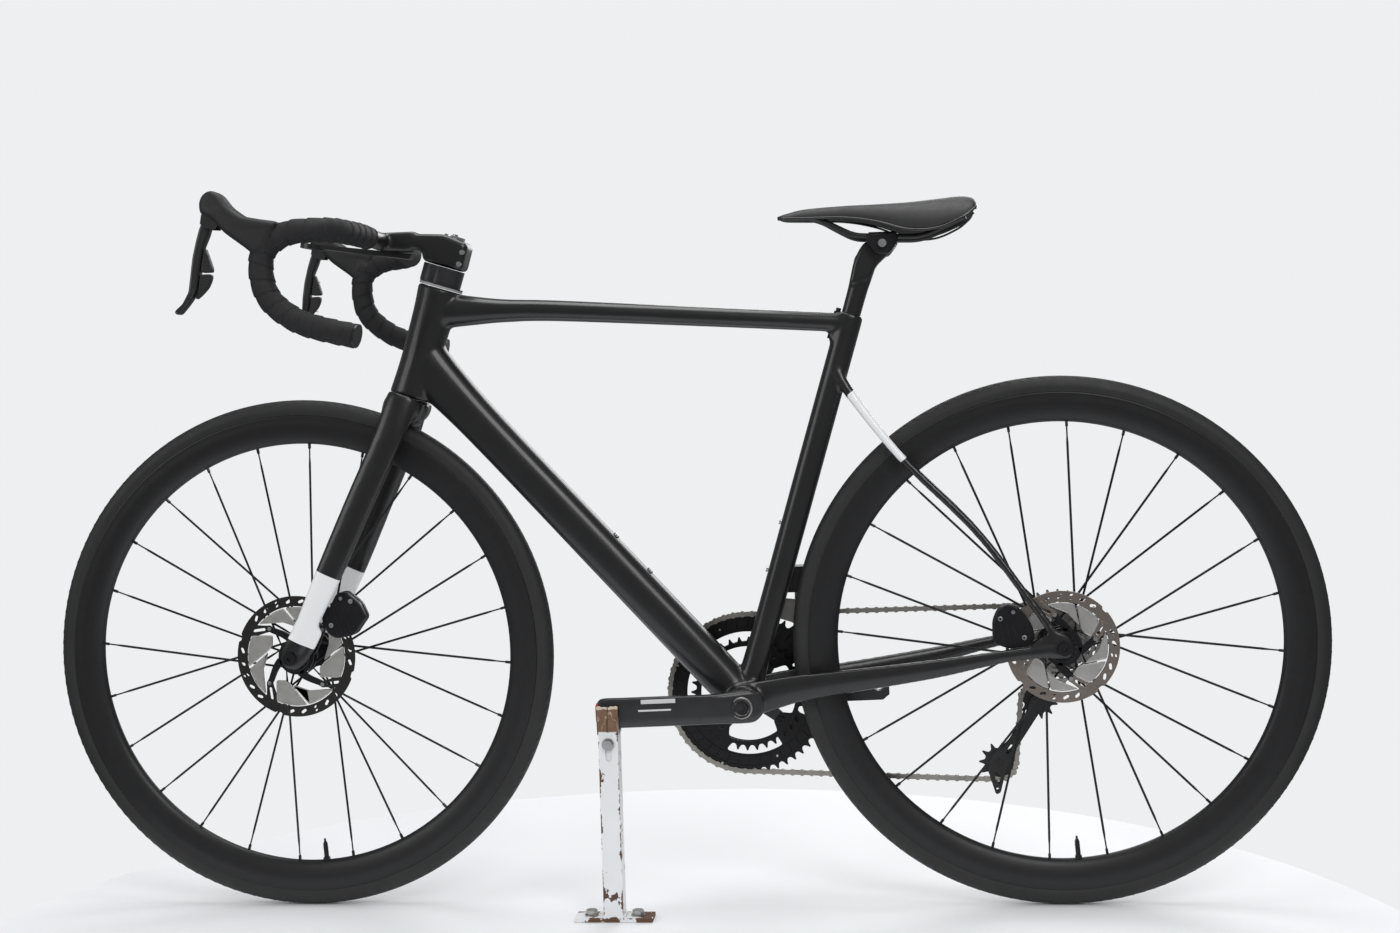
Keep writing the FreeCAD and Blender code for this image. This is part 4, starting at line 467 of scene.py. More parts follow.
view = {
    "at": (-274.5, 2157.6, 637.3), "right": (-0.99395, -0.10550, -0.03053),
    "up": (-0.02725, -0.03239, 0.99910), "forward": (0.10639, -0.99389, -0.02932),
    "lens": 42.84, "sensor": 36.0,
}


def makeCamera():
    camera = bpy.data.cameras.new("camera")
    camera.lens = view["lens"]
    camera.sensor_width = view["sensor"]
    camera.clip_end = 60
    obj = newObject("camera", camera)
    turn = Matrix((view["right"], view["up"], tuple(-v for v in view["forward"]))).transposed().to_4x4()
    obj.matrix_world = Matrix.Translation(Vector(view["at"]) * mm) @ turn
    bpy.context.scene.camera = obj


light = {
    "key": ((-1400, 2700, 2700), (0, 0, 400), 1.8, 40), "fill": ((2300, 1700, 1500), (100, 0, 450), 1.6, 14),
    "top": ((0, -200, 3200), (0, 0, 0), 2.2, 44), "back": ((-600, -2600, 1800), (0, 0, 450), 2.0, 26),
}
sky = {"colour": (0.93, 0.94, 0.95, 1), "base": 0.22, "soft": 0.36, "camera": 0.70}


def makeLights():
    for name, (at, aim, size, power) in light.items():
        lamp = bpy.data.lights.new(name, "AREA")
        lamp.shape = "DISK"
        lamp.size = size
        lamp.energy = power
        obj = newObject(name, lamp)
        obj.location = Vector(at) * mm
        obj.rotation_mode = "QUATERNION"
        obj.rotation_quaternion = (Vector(aim) - Vector(at)).to_track_quat("-Z", "Y")
    world = bpy.data.worlds.new("studio")
    bpy.context.scene.world = world
    world.use_nodes = True
    tree = world.node_tree
    glow = tree.nodes["Background"]
    glow.inputs["Color"].default_value = sky["colour"]
    rays = tree.nodes.new("ShaderNodeLightPath")
    # reflections get the base strength, and soft light and the camera more
    diffuse = tree.nodes.new("ShaderNodeMath")
    diffuse.operation = "MULTIPLY_ADD"
    tree.links.new(rays.outputs["Is Diffuse Ray"], diffuse.inputs[0])
    diffuse.inputs[1].default_value = sky["soft"]
    diffuse.inputs[2].default_value = sky["base"]
    seen = tree.nodes.new("ShaderNodeMath")
    seen.operation = "MULTIPLY_ADD"
    tree.links.new(rays.outputs["Is Camera Ray"], seen.inputs[0])
    seen.inputs[1].default_value = sky["camera"]
    tree.links.new(diffuse.outputs[0], seen.inputs[2])
    tree.links.new(seen.outputs[0], glow.inputs["Strength"])


floorShape = {"at": (-5, 254), "radius": 924, "sides": 160, "high": -0.4, "colour": (0.83, 0.84, 0.86)}


# round pale table top
def makeFloor():
    f = floorShape
    top = [polar(*f["at"], f["radius"], 360 * k / f["sides"]) for k in range(f["sides"])]
    mesh = rawMesh("floor", [(x, y, f["high"]) for x, y in top], [tuple(range(f["sides"]))])
    floor = newObject("floor", mesh)
    finish = shader("pale floor", f["colour"], 0.6)[0]
    floor.data.materials.append(finish)


makeCamera()
makeLights()
makeFloor()
bpy.context.scene.view_settings.view_transform = "Standard"
print("camera, light and floor are ready")


layout = {
    "frontAxle": (496.5, 338.5), "rearAxle": (-496.5, 338.5), "crank": (-94.4, 269.0),
    "headLow": (339.5, 676.0), "headAngle": 72.0, "headLength": 149.3, "seatAngle": 73.1, "seatTop": 765.0,
}


def upAt(degrees):  # a direction in the middle plane, leaning back
    a = math.radians(degrees)
    return Vector((-math.cos(a), 0, math.sin(a)))


headUp = upAt(layout["headAngle"])
headAhead = Vector((headUp.z, 0, -headUp.x))
headLow = Vector((layout["headLow"][0], 0, layout["headLow"][1]))
headTop = headLow + headUp * layout["headLength"]
seatUp = upAt(layout["seatAngle"])
seatAhead = Vector((seatUp.z, 0, -seatUp.x))
crankAt = Vector((layout["crank"][0], 0, layout["crank"][1]))
seatTop = crankAt + seatUp * ((layout["seatTop"] - crankAt.z) / seatUp.z)

frameTubes = {
    "head": [(0, 28, 27.5), (45, 26, 25.5), (112, 27, 26.5), (149.3, 29.7, 29)],
    "top": [(291, 0, 789, 24, 22), (250, 0, 787, 19, 21), (205, 0, 785.4, 15, 19.5),
            (135, 0, 782.6, 13.6, 18.5), (-60, 0, 767.7, 12.7, 16), (-235, 0, 754, 12.6, 14)],
    "downAngle": 47.7,
    "down": [(0, 25, 31), (60, 27, 27), (250, 27, 24), (480, 27, 23), (572, 31, 23), (612, 36, 24)],
    "seat": [(2, 19, 25), (90, 16.4, 17.5), (300, 16.4, 15.5), (518, 16.4, 15.5)],
    "chainStay": [(-100, 26, 271, 23, 9), (-160, 28.3, 285.5, 18.5, 7.6), (-212, 33, 293, 16, 7.5),
                  (-330, 55, 311.5, 12.5, 7.4), (-425, 72.5, 330, 8.5, 5.6), (-486, 76.5, 337, 9, 4.6)],
    "seatStay": [(-222, 7, 698, 9, 8), (-240, 15, 664, 7, 7), (-302, 27.5, 581, 5.6, 6),
                 (-393, 48, 486, 5.3, 5.6), (-455, 67, 401, 5.2, 5.2), (-489, 75.5, 350, 6.6, 4.6)],
    "shell": (41, 23.5), "voxel": 2.1,
    "bump": [(12, -44), (20.5, -38), (21.5, -6), (12, 0)],  # ahead of the seat tube and above its top
    "dropout": [(-13, 2), (-6, 17), (10, 24), (40, 8), (42, -8), (8, -13), (-8, -12)],  # from the axle
    "panel": [((0, 1, 0), 8, True), ((-0.62, 0, -0.785), -371, True), ((-0.62, 0, -0.785), -262, False),
              ((1, 0, 0), -238, False)],
}


def makeFrame():
    rows = [tuple(headLow + headUp * s) + (a, b) for s, a, b in frameTubes["head"]]
    parts = [tube("head", rows, 40)]
    parts.append(tube("top", frameTubes["top"], power=2.3))
    angle = math.radians(frameTubes["downAngle"])
    downDir = Vector((math.cos(angle), 0, math.sin(angle)))
    rows = [tuple(crankAt + Vector((3, 0, 0)) + downDir * s) + (a, b) for s, a, b in frameTubes["down"]]
    parts.append(tube("down", rows, power=2.5))
    rows = [tuple(crankAt + seatUp * s) + (a, b) for s, a, b in frameTubes["seat"]]
    parts.append(tube("seat", rows, power=2.3))
    half, radius = frameTubes["shell"]
    parts.append(bar((crankAt.x, -half, crankAt.z), (crankAt.x, half, crankAt.z), radius, 40))
    outline = [tuple(seatTop + seatAhead * f + seatUp * u)[::2] for f, u in frameTubes["bump"]]
    parts.append(slab("bump", outline, -10, 10, 2))
    for key in ("chainStay", "seatStay"):
        left = tube(key, frameTubes[key], 20, power=2.3)
        parts += bothSides(left)
    x, z = layout["rearAxle"]
    drop = [(x + a, z + b) for a, b in frameTubes["dropout"]]
    left = slab("dropout", rounded(drop, 7), 71.4, 78.6, 1.5)
    parts += bothSides(left)
    skin = melt("carbon_frame", parts, frameTubes["voxel"], 20)
    dress(skin, "root", carbonFinish("carbon frame", [frameTubes["panel"]]), 60)
    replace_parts(skin, "main_frame", "chain_stays", "seat_stays")


makeFrame()
print("frame is ready")

forkShape = {
    "leg": [(341, 24, 676, 22, 14), (349, 31, 655, 21, 12), (363, 39, 618, 19.5, 9.6),
            (401, 46, 537, 19, 8.2), (440, 51.5, 453, 18, 7.6), (476, 54.6, 378, 14.5, 6),
            (492, 55.5, 348, 12, 5)],
    "crown": [(316, 668), (320, 652), (332, 641), (352, 637), (374, 645), (372, 662), (366, 680)],
    "boss": [(504, 328), (492, 322), (478, 330), (463, 352), (452, 372), (462, 386), (486, 392), (503, 360)],
    "race": [(2.4, 27.2), (14, 28.5), (30, 24)],  # below the head tube, with its radius
    "dropout": [(-14, -2), (-12, -12), (0, -15), (12, -10), (13, 6), (2, 30), (-18, 34)],
    "panel": [((0.42, 0, -0.907), -219, True), ((0.42, 0, -0.907), -122, False)], "voxel": 2.0,
}


def makeFork():
    left = tube("leg", forkShape["leg"], 28, power=2.4)
    parts = bothSides(left)
    parts.append(slab("crown", rounded(forkShape["crown"], 10), -33, 33, 9, 4))
    parts.append(tube("race", [tuple(headLow - headUp * s) + (r, r) for s, r in forkShape["race"]], 36, 3))
    x, z = layout["frontAxle"]
    drop = [(x + a, z + b) for a, b in forkShape["dropout"]]
    foot = slab("dropout", rounded(drop, 8), 50.4, 59.6, 2)
    boss = slab("boss", rounded(forkShape["boss"], 6), 50.4, 57.6, 2)
    parts += bothSides(foot) + [boss]
    skin = melt("carbon_fork", parts, forkShape["voxel"], 16)
    dress(skin, "steering", carbonFinish("carbon fork", [forkShape["panel"]]), 60)
    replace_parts(skin, "fork")


makeFork()
print("fork is ready")


wheelShape = {
    "tyreR": 338.5, "tyreHalf": 14.0, "beadR": 316.0, "rimDepth": 36.0, "rimHalf": 13.0, "spokes": 24,
    "valveAngle": -94.0, "valveR": 3.0, "headR": 21.5, "flangeR": 24.0, "treadCuts": 150, "band": (52, 0.35),
}


def makeTyre(name, x, z, body, finish):
    w = wheelShape
    middle = w["tyreR"] - w["tyreHalf"]
    bandHalf, bandHigh = w["band"]  # raised tread band, degrees from the crown and millimetres
    outline = []
    for k in range(29):
        a = math.radians(-126 + 252 * k / 28)
        lift = bandHigh if abs(math.degrees(a)) < bandHalf else 0.0
        high = w["tyreHalf"] + lift - bandHigh
        outline.append((middle + high * math.cos(a), (w["tyreHalf"] - 0.2) * math.sin(a)))
    outline.append((w["beadR"] + 0.5, w["rimHalf"] - 2))
    outline.append((w["beadR"] + 0.5, -w["rimHalf"] + 2))
    parts = [lathe(name, outline, x, z, 192)]
    steps = w["treadCuts"]
    for k in range(steps):  # slanted tread cuts beside the crown, as low ribs
        for side in (-1, 1):
            a0 = 360 / steps * (k + 0.25 * side)
            line = []
            for s in range(4):
                tilt = math.radians(side * (20 + 8 * s))
                px, pz = polar(x, z, middle + (w["tyreHalf"] - 0.08) * math.cos(tilt), a0 + 0.45 * s)
                line.append((px, (w["tyreHalf"] - 0.05) * math.sin(tilt), pz))
            parts.append(rod("rib", line, 0.45, count=4, between=1))
    obj = gather(name, parts)
    dress(obj, body, finish, 40)
    return obj


def makeRim(name, x, z, body, finish):
    w = wheelShape
    low = w["beadR"] - w["rimDepth"]
    bead, half = w["beadR"], w["rimHalf"]
    side = [(bead + 1.2, half - 2.4), (bead + 1.6, half - 1), (bead + 1.0, half), (bead - 3, half - 0.1)]
    side += [(bead - 12, half - 0.2), (low + 14, half * 0.82), (low + 6, half * 0.58)]
    side += [(low + 2, half * 0.34), (low + 0.2, half * 0.1)]
    side = smoothRows(side, 3)
    outline = side + [(r, -y) for r, y in reversed(side)]
    obj = newObject(name, lathe(name, outline, x, z, 192))
    dress(obj, body, finish, 40)
    return obj


# the two ends of spoke k
def spokeEnds(x, z, k, leftY, rightY):
    w = wheelShape
    at = w["valveAngle"] + 180 / w["spokes"] + k * 360 / w["spokes"]
    left = k % 2 == 0
    lean = 60 if (k // 2) % 2 == 0 else -60
    hx, hz = polar(x, z, w["headR"], at + lean)
    rx, rz = polar(x, z, w["beadR"] - w["rimDepth"] + 1, at)
    y = (leftY if left else rightY) + (1.6 if lean > 0 else -1.6)
    return Vector((hx, y, hz)), Vector((rx, 1.5 if left else -1.5, rz))


def makeSpokes(name, x, z, body, leftY, rightY, finish):
    parts = []
    for k in range(wheelShape["spokes"]):
        head, end = spokeEnds(x, z, k, leftY, rightY)
        run = end - head
        blade = [head, head + run * 0.06, head + run * 0.09, head + run * 0.9, head + run * 0.93, end]
        flat = run.cross(Vector((0, 1, 0))).normalized()
        rings = []
        for p, wide, thin in zip(blade, (1, 1, 1.5, 1.5, 1, 1), (1, 1, 0.55, 0.55, 1, 1)):
            turn = [math.pi * j / 4 for j in range(8)]
            out = Vector((0, 1, 0))
            rings.append([p + flat * (wide * math.cos(t)) + out * (thin * math.sin(t)) for t in turn])
        parts.append(rawMesh("spoke", *bridge(rings)))
        parts.append(hexBar(end - run.normalized() * 7, end + run.normalized() * 2, 3.4))
        outward = Vector((0, math.copysign(1, head.y - (leftY + rightY) / 2), 0))
        parts.append(bar(head - outward * 4.6, head + outward * 1.2, 1.5, 10))
    obj = gather(name, parts)
    dress(obj, body, finish, 40)
    return obj


def makeValve(name, x, z, body):
    w = wheelShape
    def spot(r):
        px, pz = polar(x, z, r, w["valveAngle"])
        return (px, 0, pz)
    low = w["beadR"] - w["rimDepth"]
    parts = [bar(spot(low + 1), spot(low - 22), w["valveR"], 20)]
    parts.append(bar(spot(low + 1), spot(low - 3), w["valveR"] + 1.8, 6))
    parts.append(bar(spot(low - 21), spot(low - 24), 2.2, 16))
    for k in range(9):
        parts.append(bar(spot(low - 4 - 1.6 * k), spot(low - 4.7 - 1.6 * k), w["valveR"] + 0.25, 20))
    parts.append(bar(spot(low - 24), spot(low - 28), 1.4, 12))
    dress(gather(name, parts), body, finishes["alloy"], 40)


hubShape = {
    "front": {"leftY": 20.0, "rightY": -36.0, "end": 50.0, "body": 11.0, "disc": 34.7},
    "rear": {"leftY": 34.0, "rightY": -17.0, "end": 71.0, "body": 12.0, "disc": 55.7},
}


def makeHub(name, x, z, body, h):
    end = h["end"] - 0.1
    r = h["body"]
    outline = [(6.1, -end), (9.3, -end), (9.5, -end + 0.4), (9.5, h["rightY"] - 6), (r + 1, h["rightY"] - 5)]
    flange = wheelShape["flangeR"]
    for y in (h["rightY"], h["leftY"]):
        outline += [(r + 2.5, y - 3.6), (flange - 0.6, y - 3), (flange, y - 2.4)]
        outline += [(flange, y + 2.4), (flange - 0.6, y + 3), (r + 2.5, y + 3.6)]
        if y == h["rightY"]:
            outline += [(r + 0.8, y + 7), (r, y + 11), (r, h["leftY"] - 11), (r + 0.8, h["leftY"] - 7)]
    outline += [(16.8, h["leftY"] + 5), (16.8, h["disc"] + 2), (9.6, h["disc"] + 2)]
    outline += [(9.6, end - 0.4), (9.3, end), (6.1, end)]
    obj = newObject(name, lathe(name, outline, x, z, 72))
    dress(obj, body, finishes["alloy"], 30)
    return obj


def makeWheel(side, x, z, body):
    h = hubShape[side]
    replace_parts(makeTyre(side + "_tyre_tread", x, z, body, finishes["tyre"]), side + "_tyre")
    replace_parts(makeRim(side + "_rim_skin", x, z, body, finishes["rim"]), side + "_rim")
    makeValve(side + "_valve", x, z, body)
    spokes = makeSpokes(side + "_bladed_spokes", x, z, body, h["leftY"], h["rightY"], finishes["spoke"])
    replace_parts(spokes, side + "_spokes")
    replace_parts(makeHub(side + "_hub_shell", x, z, body, h), side + "_hub")


blackTones = ((0.012, 0.012, 0.012), (0.020, 0.020, 0.020))
finishes["tyre"] = mottled("tyre rubber", blackTones, (30, 4), (0.5, 0.72, 90, 3), (1600, 2, 0.2, 0.00015))
makeWheel("front", *layout["frontAxle"], "front_wheel")
makeWheel("rear", *layout["rearAxle"], "rear_wheel")
print("wheels are ready")


discShape = {
    "front": {"y": 34.7, "r": 80.0, "phase": 47.0}, "rear": {"y": 55.7, "r": 70.0, "phase": 77.0},
    "thick": 1.8, "track": 13.5, "rivetIn": 29.0, "slotTurn": 62, "slotStep": 13.2, "notch": (2.2, 2.4),
    "lock": [(9.8, 1.4), (9.8, 4.6), (12, 5.4), (18.6, 5.4), (19.6, 4.4), (20, 1.4)],
}


def slot(cx, cz, length, width, degrees, count=6):  # slanted round-ended hole
    a = math.radians(degrees)
    dx, dz = math.cos(a), math.sin(a)
    out = []
    for end in (1, -1):
        for k in range(count + 1):
            t = -end * math.pi / 2 + math.pi * k / count
            u = end * (length - width) / 2 + width / 2 * math.cos(t)
            v = width / 2 * math.sin(t)
            out.append((cx + dx * u - dz * v, cz + dz * u + dx * v))
    return out


# slotted track with four tongues, cooling plates between them and a dark carrier
def makeDisc(side, x, z, body, trackFinish):
    d = discShape[side]
    y, r, phase = d["y"], d["r"], d["phase"]
    inner, rivetR = r - discShape["track"], r - discShape["rivetIn"]
    def spot(radius, degrees):
        return polar(x, z, radius, degrees)
    notch = {phase + 90 * k - 28 for k in range(4)}
    def rimAt(degrees):
        near = min(abs((degrees - n + 180) % 360 - 180) for n in notch)
        reach, deep = discShape["notch"]
        return r - (deep if near < reach else deep / 2 if near < 4 else 0)
    loops = [[spot(rimAt(k), k) for k in range(360)], [spot(inner, k) for k in range(0, 360, 2)]]
    for k in range(4):
        for j in range(5):
            at = phase + 90 * k - 40 - discShape["slotStep"] * j
            turn = at + discShape["slotTurn"]
            if j == 2:
                loops.append(slot(*spot(r - 9, at), 4.4, 2.0, turn))
                loops.append(slot(*spot(r - 4.2, at), 3.8, 2.0, turn))
            else:
                loops.append(slot(*spot(r - 6.8, at), 8.0, 3.6, turn))
    parts = [plate("track", loops, y, discShape["thick"], 0.2, 1)]
    plates, borders, dark, rivets = [], [], [], []
    for k in range(4):
        at = phase + 90 * k
        tip, root = Vector(spot(inner + 3, at - 17.5)), Vector(spot(rivetR, at))
        run = (root - tip).normalized()
        across = Vector((run.y, -run.x))
        halfTongue = [tip + across * 8.5, root + across * 4.6 - run * 4, root + across * 4.2 + run * 2]
        otherHalf = [root - across * 4.2 + run * 2, root - across * 4.6 - run * 4, tip - across * 8.5]
        tongue = [tuple(q) for q in halfTongue + [root + run * 4.6] + otherHalf]
        middle = tip * 0.55 + root * 0.45
        lean = math.degrees(math.atan2(run.y, run.x))
        hole = slot(middle.x, middle.y, (tip - root).length * 0.66, 3.6, lean)
        parts.append(plate("tongue", [rounded(tongue, 2.5, 3), hole], y, discShape["thick"] + 0.2, 0.25, 1))
        rivets.append(bar((root.x, y - 2.1, root.y), (root.x, y + 2.1, root.y), 2.6, 24))
        # cooling plate, in two leaves with a slit between them
        edge = inner - 1.0
        q = r / 80
        leafA = [spot(edge, at - 21 - 37 * j / 10) for j in range(11)]
        leafA += [spot(38 * q, at - 34.5), spot(35 * q, at - 22), spot(42 * q, at - 5)]
        leafB = [spot(edge, at - 60.5 - 35 * j / 10) for j in range(11)]
        leafB += [spot(48 * q, at - 66), spot(38.5 * q, at - 38)]
        for leaf in (leafA, leafB):
            leaf = rounded(leaf, 2.2, 2)
            centre = sum((Vector(p) for p in leaf), Vector((0, 0))) / len(leaf)
            small = [tuple(Vector(p) + (centre - Vector(p)).normalized() * 2.2) for p in leaf]
            plates.append(plate("leaf", [leaf], y, 1.7, 0.2, 1))
            borders.append(plate("border", [leaf, small], y, 2.7, 0.5, 2))
        # curved dark arm from the rivet to the hub
        line = [spot(rivetR - (rivetR - 21) * j / 8, at + 30 * (j / 8) ** 1.5) for j in range(9)]
        left, right = [], []
        for j, (px, pz) in enumerate(line):
            ahead, behind = Vector(line[min(j + 1, 8)]), Vector(line[max(j - 1, 0)])
            go = (ahead - behind).normalized()
            half = 3.8 + 1.6 * (j / 8) ** 2
            left.append((px - go.y * half, pz + go.x * half))
            right.append((px + go.y * half, pz - go.x * half))
        dark.append(plate("arm", [rounded(left + right[::-1], 2, 2)], y - 0.2, 3.6, 0.7, 2))
    dark.append(plate("carrier", [circle(x, z, 24, 64), circle(x, z, 17.2, 48)], y - 0.2, 3.6, 0.5, 2))
    dark.append(lathe("lock", [(lockR, y + out) for lockR, out in discShape["lock"]], x, z, 64))
    for k in range(16):
        a, b = spot(14.2, 22.5 * k), spot(18.4, 22.5 * k)
        dark.append(bar((a[0], y + 5.4, a[1]), (b[0], y + 5.4, b[1]), 0.7, 6))
    carrier = gather(side + "_disc_carrier", dark)
    dress(carrier, body, finishes["alloy"], 35)
    dress(gather(side + "_disc_track", parts), body, trackFinish, 40)
    dress(gather(side + "_disc_fins", plates + borders), body, finishes["fin"], 40)
    dress(gather(side + "_disc_rivets", rivets), body, finishes["bolt"], 35)
    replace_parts(carrier, side + "_brake_disc")


# the front disc gets the darkened copy of the brake track finish, painted shade
makeDisc("front", *layout["frontAxle"], "front_wheel", finishes["shadedTrack"])
makeDisc("rear", *layout["rearAxle"], "rear_wheel", finishes["track"])
print("brake discs are ready")


caliperShape = {
    "front": {
        "y": 34.7, "r": 80.0, "body": "steering", "lean": (0.35, 0.94), "reach": 44,
        "outline": [(397, 389), (404, 380), (414, 366), (440, 362), (452, 372), (452, 392), (436, 422),
                    (424, 424), (405, 408)],
        "fins": ((410, 372), (441, 366)), "bolts": ((417, 411), (444, 380)), "hose": (430, 415),
    },
    "rear": {
        "y": 55.7, "r": 70.0, "body": "root", "lean": (0.2, 0.98), "reach": 36,
        "outline": [(-411, 345), (-411, 372), (-418, 388), (-431, 395), (-444, 389), (-458, 370), (-463, 352),
                    (-455, 340), (-430, 338)],
        "fins": ((-457, 349), (-418, 346)), "bolts": ((-420, 376), (-449, 352)), "hose": (-436, 384),
    },
    "halves": ((2.1, 9.6), (-10.6, -2.1)), "finFace": (8.6, 10.2), "finHalf": 1.5,
    "screw": [(0.01, 10.1), (1.5, 10.1), (1.6, 11), (3, 11.2), (3.4, 10.6), (3.4, 9), (0.01, 9)],
    "plug": [(0.01, 11), (1.2, 11), (1.3, 11.8), (2.3, 11.8), (2.6, 11.3), (2.6, 10), (0.01, 10)],
}


# two finned halves either side of the disc, joined beyond its rim
def makeCaliper(side, x, z):
    c = caliperShape[side]
    y = c["y"]
    outline = [Vector(p) for p in c["outline"]]
    middle = sum(outline, Vector((0, 0))) / len(outline)
    sides = caliperShape["halves"]
    halves = [slab("half", rounded(outline, 6), y + a, y + b, 1.8, 3) for a, b in sides]
    far = [p for p in outline if (p - Vector((x, z))).length > c["r"] + 3]
    if len(far) > 2:
        halves.append(slab("bridge", rounded([p + (middle - p) * 0.04 for p in far], 2), y - 6, y + 6, 1, 2))
    # slanted cooling fins standing on the outer face
    (ax, az), (bx, bz) = c["fins"]
    low, high = caliperShape["finFace"]
    run = Vector(c["lean"]).normalized()
    s = Vector((run.y, -run.x)) * caliperShape["finHalf"]
    for k in range(6):
        px, pz = ax + (bx - ax) * k / 5, az + (bz - az) * k / 5
        size = c["reach"] * (0.62 + 0.38 * math.sin(math.pi * (k + 0.5) / 6))
        a, b = Vector((px, pz)), Vector((px, pz)) + run * size
        fin = rounded([tuple(a - s), tuple(b - s), tuple(b + s), tuple(a + s)], 1.2, 2)
        halves.append(slab("fin", fin, y + low, y + high, 0.5, 1))
    hx, hz = c["hose"]
    halves.append(bar((hx, y + 7, hz), (hx, y + 10.6, hz), 4.6, 24))
    body = gather(side + "_caliper_body", halves)
    dress(body, c["body"], finishes["alloy"], 35)
    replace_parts(body, side + "_caliper")
    screw = [(radius, y + out) for radius, out in caliperShape["screw"]]
    plug = [(radius, y + out) for radius, out in caliperShape["plug"]]
    bolts = [lathe("screw", screw, *at, 24) for at in c["bolts"]]
    bolts.append(lathe("plug", plug, hx, hz, 24))
    dress(gather(side + "_caliper_bolts", bolts), c["body"], finishes["bolt"], 35)


makeCaliper("front", *layout["frontAxle"])
makeCaliper("rear", *layout["rearAxle"])
print("brake calipers are ready")


crankShape = {
    "length": 172.5, "drop": 1.6,
    "arm": [(-27, 55, 6, 6), (-24.5, 55, 12, 6.5), (-15, 56.8, 19.6, 8.6), (0, 59.2, 20.6, 10.6),
            (12, 61.4, 20, 11.4), (30, 67, 18.9, 9.3), (46, 69.6, 18.6, 7.3), (90, 69.75, 18.8, 7.1),
            (150, 69.75, 18.9, 7.1),
            (177, 69.75, 18.8, 7.1), (184, 69.75, 14.5, 6.6), (186, 69.75, 11, 5.8)],
    "stripes": [(83, 127, 11.2, 16.4), (89, 131, 1.6, 3.9)], "stripeFace": 74,
    "trim": (182.2, 3), "trimFace": 66,
    "spindle": [(9.7, -38), (14.8, -38), (14.8, 50), (9.7, 50)],
    "ring": [(9.0, 70.4), (9.2, 71.8), (9.8, 72.2), (13.2, 72.2), (13.8, 71.4), (13.9, 68), (9.0, 68)],
    "cap": [(4.9, 70.9), (8.5, 70.9), (8.5, 66), (4.9, 66)], "pinch": (56, 65),
    "bush": [(7.0, 62.4), (7.3, 62.2), (9.2, 62.2), (9.6, 62.8), (9.6, 76.5), (9.2, 76.95), (7.3, 76.95),
             (7.0, 76.7)],
}


# a point along and across the left arm, in the frame's own place
def crankPoint(u, y, v):
    a = math.radians(-crankShape["drop"])
    return (crankAt.x + u * math.cos(a) - v * math.sin(a), y, crankAt.z + u * math.sin(a) + v * math.cos(a))


def squareRing(u, y, high, wide, power=5.0, count=40):
    ring = []
    for k in range(count):
        t = 2 * math.pi * (k + 0.5) / count
        c, s = math.cos(t), math.sin(t)
        c = math.copysign(abs(c) ** (2 / power), c)
        s = math.copysign(abs(s) ** (2 / power), s)
        ring.append((u, y + wide * c, high * s))
    return ring


def armMesh():
    rows = smoothRows(crankShape["arm"], 5)
    rings = [[crankPoint(*p) for p in squareRing(u, y, h, w)] for u, y, h, w in rows]
    return rawMesh("arm", *bridge(rings))


# dark grey arm with two plain pale stripes and a thin red trim
def crankFinish():
    grey = (0.045, 0.045, 0.047)
    finish, surface = shader("crank skin", grey, 0.3, 0.35, Coat_Weight=0.3, Coat_Roughness=0.1)
    colour = mixColour(finish, noise(finish, 50, 4), (0.022, 0.022, 0.024), (0.038, 0.038, 0.040))
    a = math.radians(-crankShape["drop"])
    u = (math.cos(a), 0, math.sin(a))
    v = (-math.sin(a), 0, math.cos(a))
    u0 = crankAt.x * u[0] + crankAt.z * u[2]
    v0 = crankAt.x * v[0] + crankAt.z * v[2]
    for start, end, low, high in crankShape["stripes"]:
        tests = [(u, u0 + start, True), (u, u0 + end, False), (v, v0 + low, True), (v, v0 + high, False)]
        stripe = region(finish, tests + [((0, 1, 0), crankShape["stripeFace"], True)])
        colour = mixColour(finish, stripe, colour, (0.72, 0.72, 0.72))
    end, low = crankShape["trim"]
    tests = [(u, u0 + end, True), (v, v0 + low, True), ((0, 1, 0), crankShape["trimFace"], True)]
    colour = mixColour(finish, region(finish, tests), colour, (0.45, 0.02, 0.015))
    join(finish, colour, surface.inputs["Base Color"])
    join(finish, spread(finish, noise(finish, 90, 4), 0.24, 0.42), surface.inputs["Roughness"])
    bumpy(finish, surface, noise(finish, 1200, 2), 0.06, 0.0001)
    return finish


def makeCranks():
    x, z = crankAt.x, crankAt.z
    left = gather("left_arm_skin", [armMesh(), lathe("spindle", crankShape["spindle"], x, z, 48)])
    dress(left, "crankset", finishes["crankSkin"], 35)
    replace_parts(left, "left_crank_arm")
    ring = newObject("left_arm_ring", lathe("ring", crankShape["ring"], x, z, 64))
    dress(ring, "crankset", finishes["satin"], 35)
    cap = [lathe("cap", crankShape["cap"], x, z, 6), bar((x, 66, z), (x, 68.2, z), 8.4, 40)]
    sx, _, sz = crankPoint(17, 0, -20.1)
    for y in crankShape["pinch"]:  # pinch screws
        cap.append(bar((sx, y, sz - 0.6), (sx, y, sz + 3), 2.6, 20))
    dress(gather("left_arm_fittings", cap), "crankset", finishes["plastic"], 35)
    px, _, pz = crankPoint(crankShape["length"], 0, 0)
    bush = newObject("left_pedal_bush", lathe("bush", crankShape["bush"], px, pz, 48))
    dress(bush, "crankset", finishes["bolt"], 35)


finishes["crankSkin"] = crankFinish()
makeCranks()
print("cranks are ready")


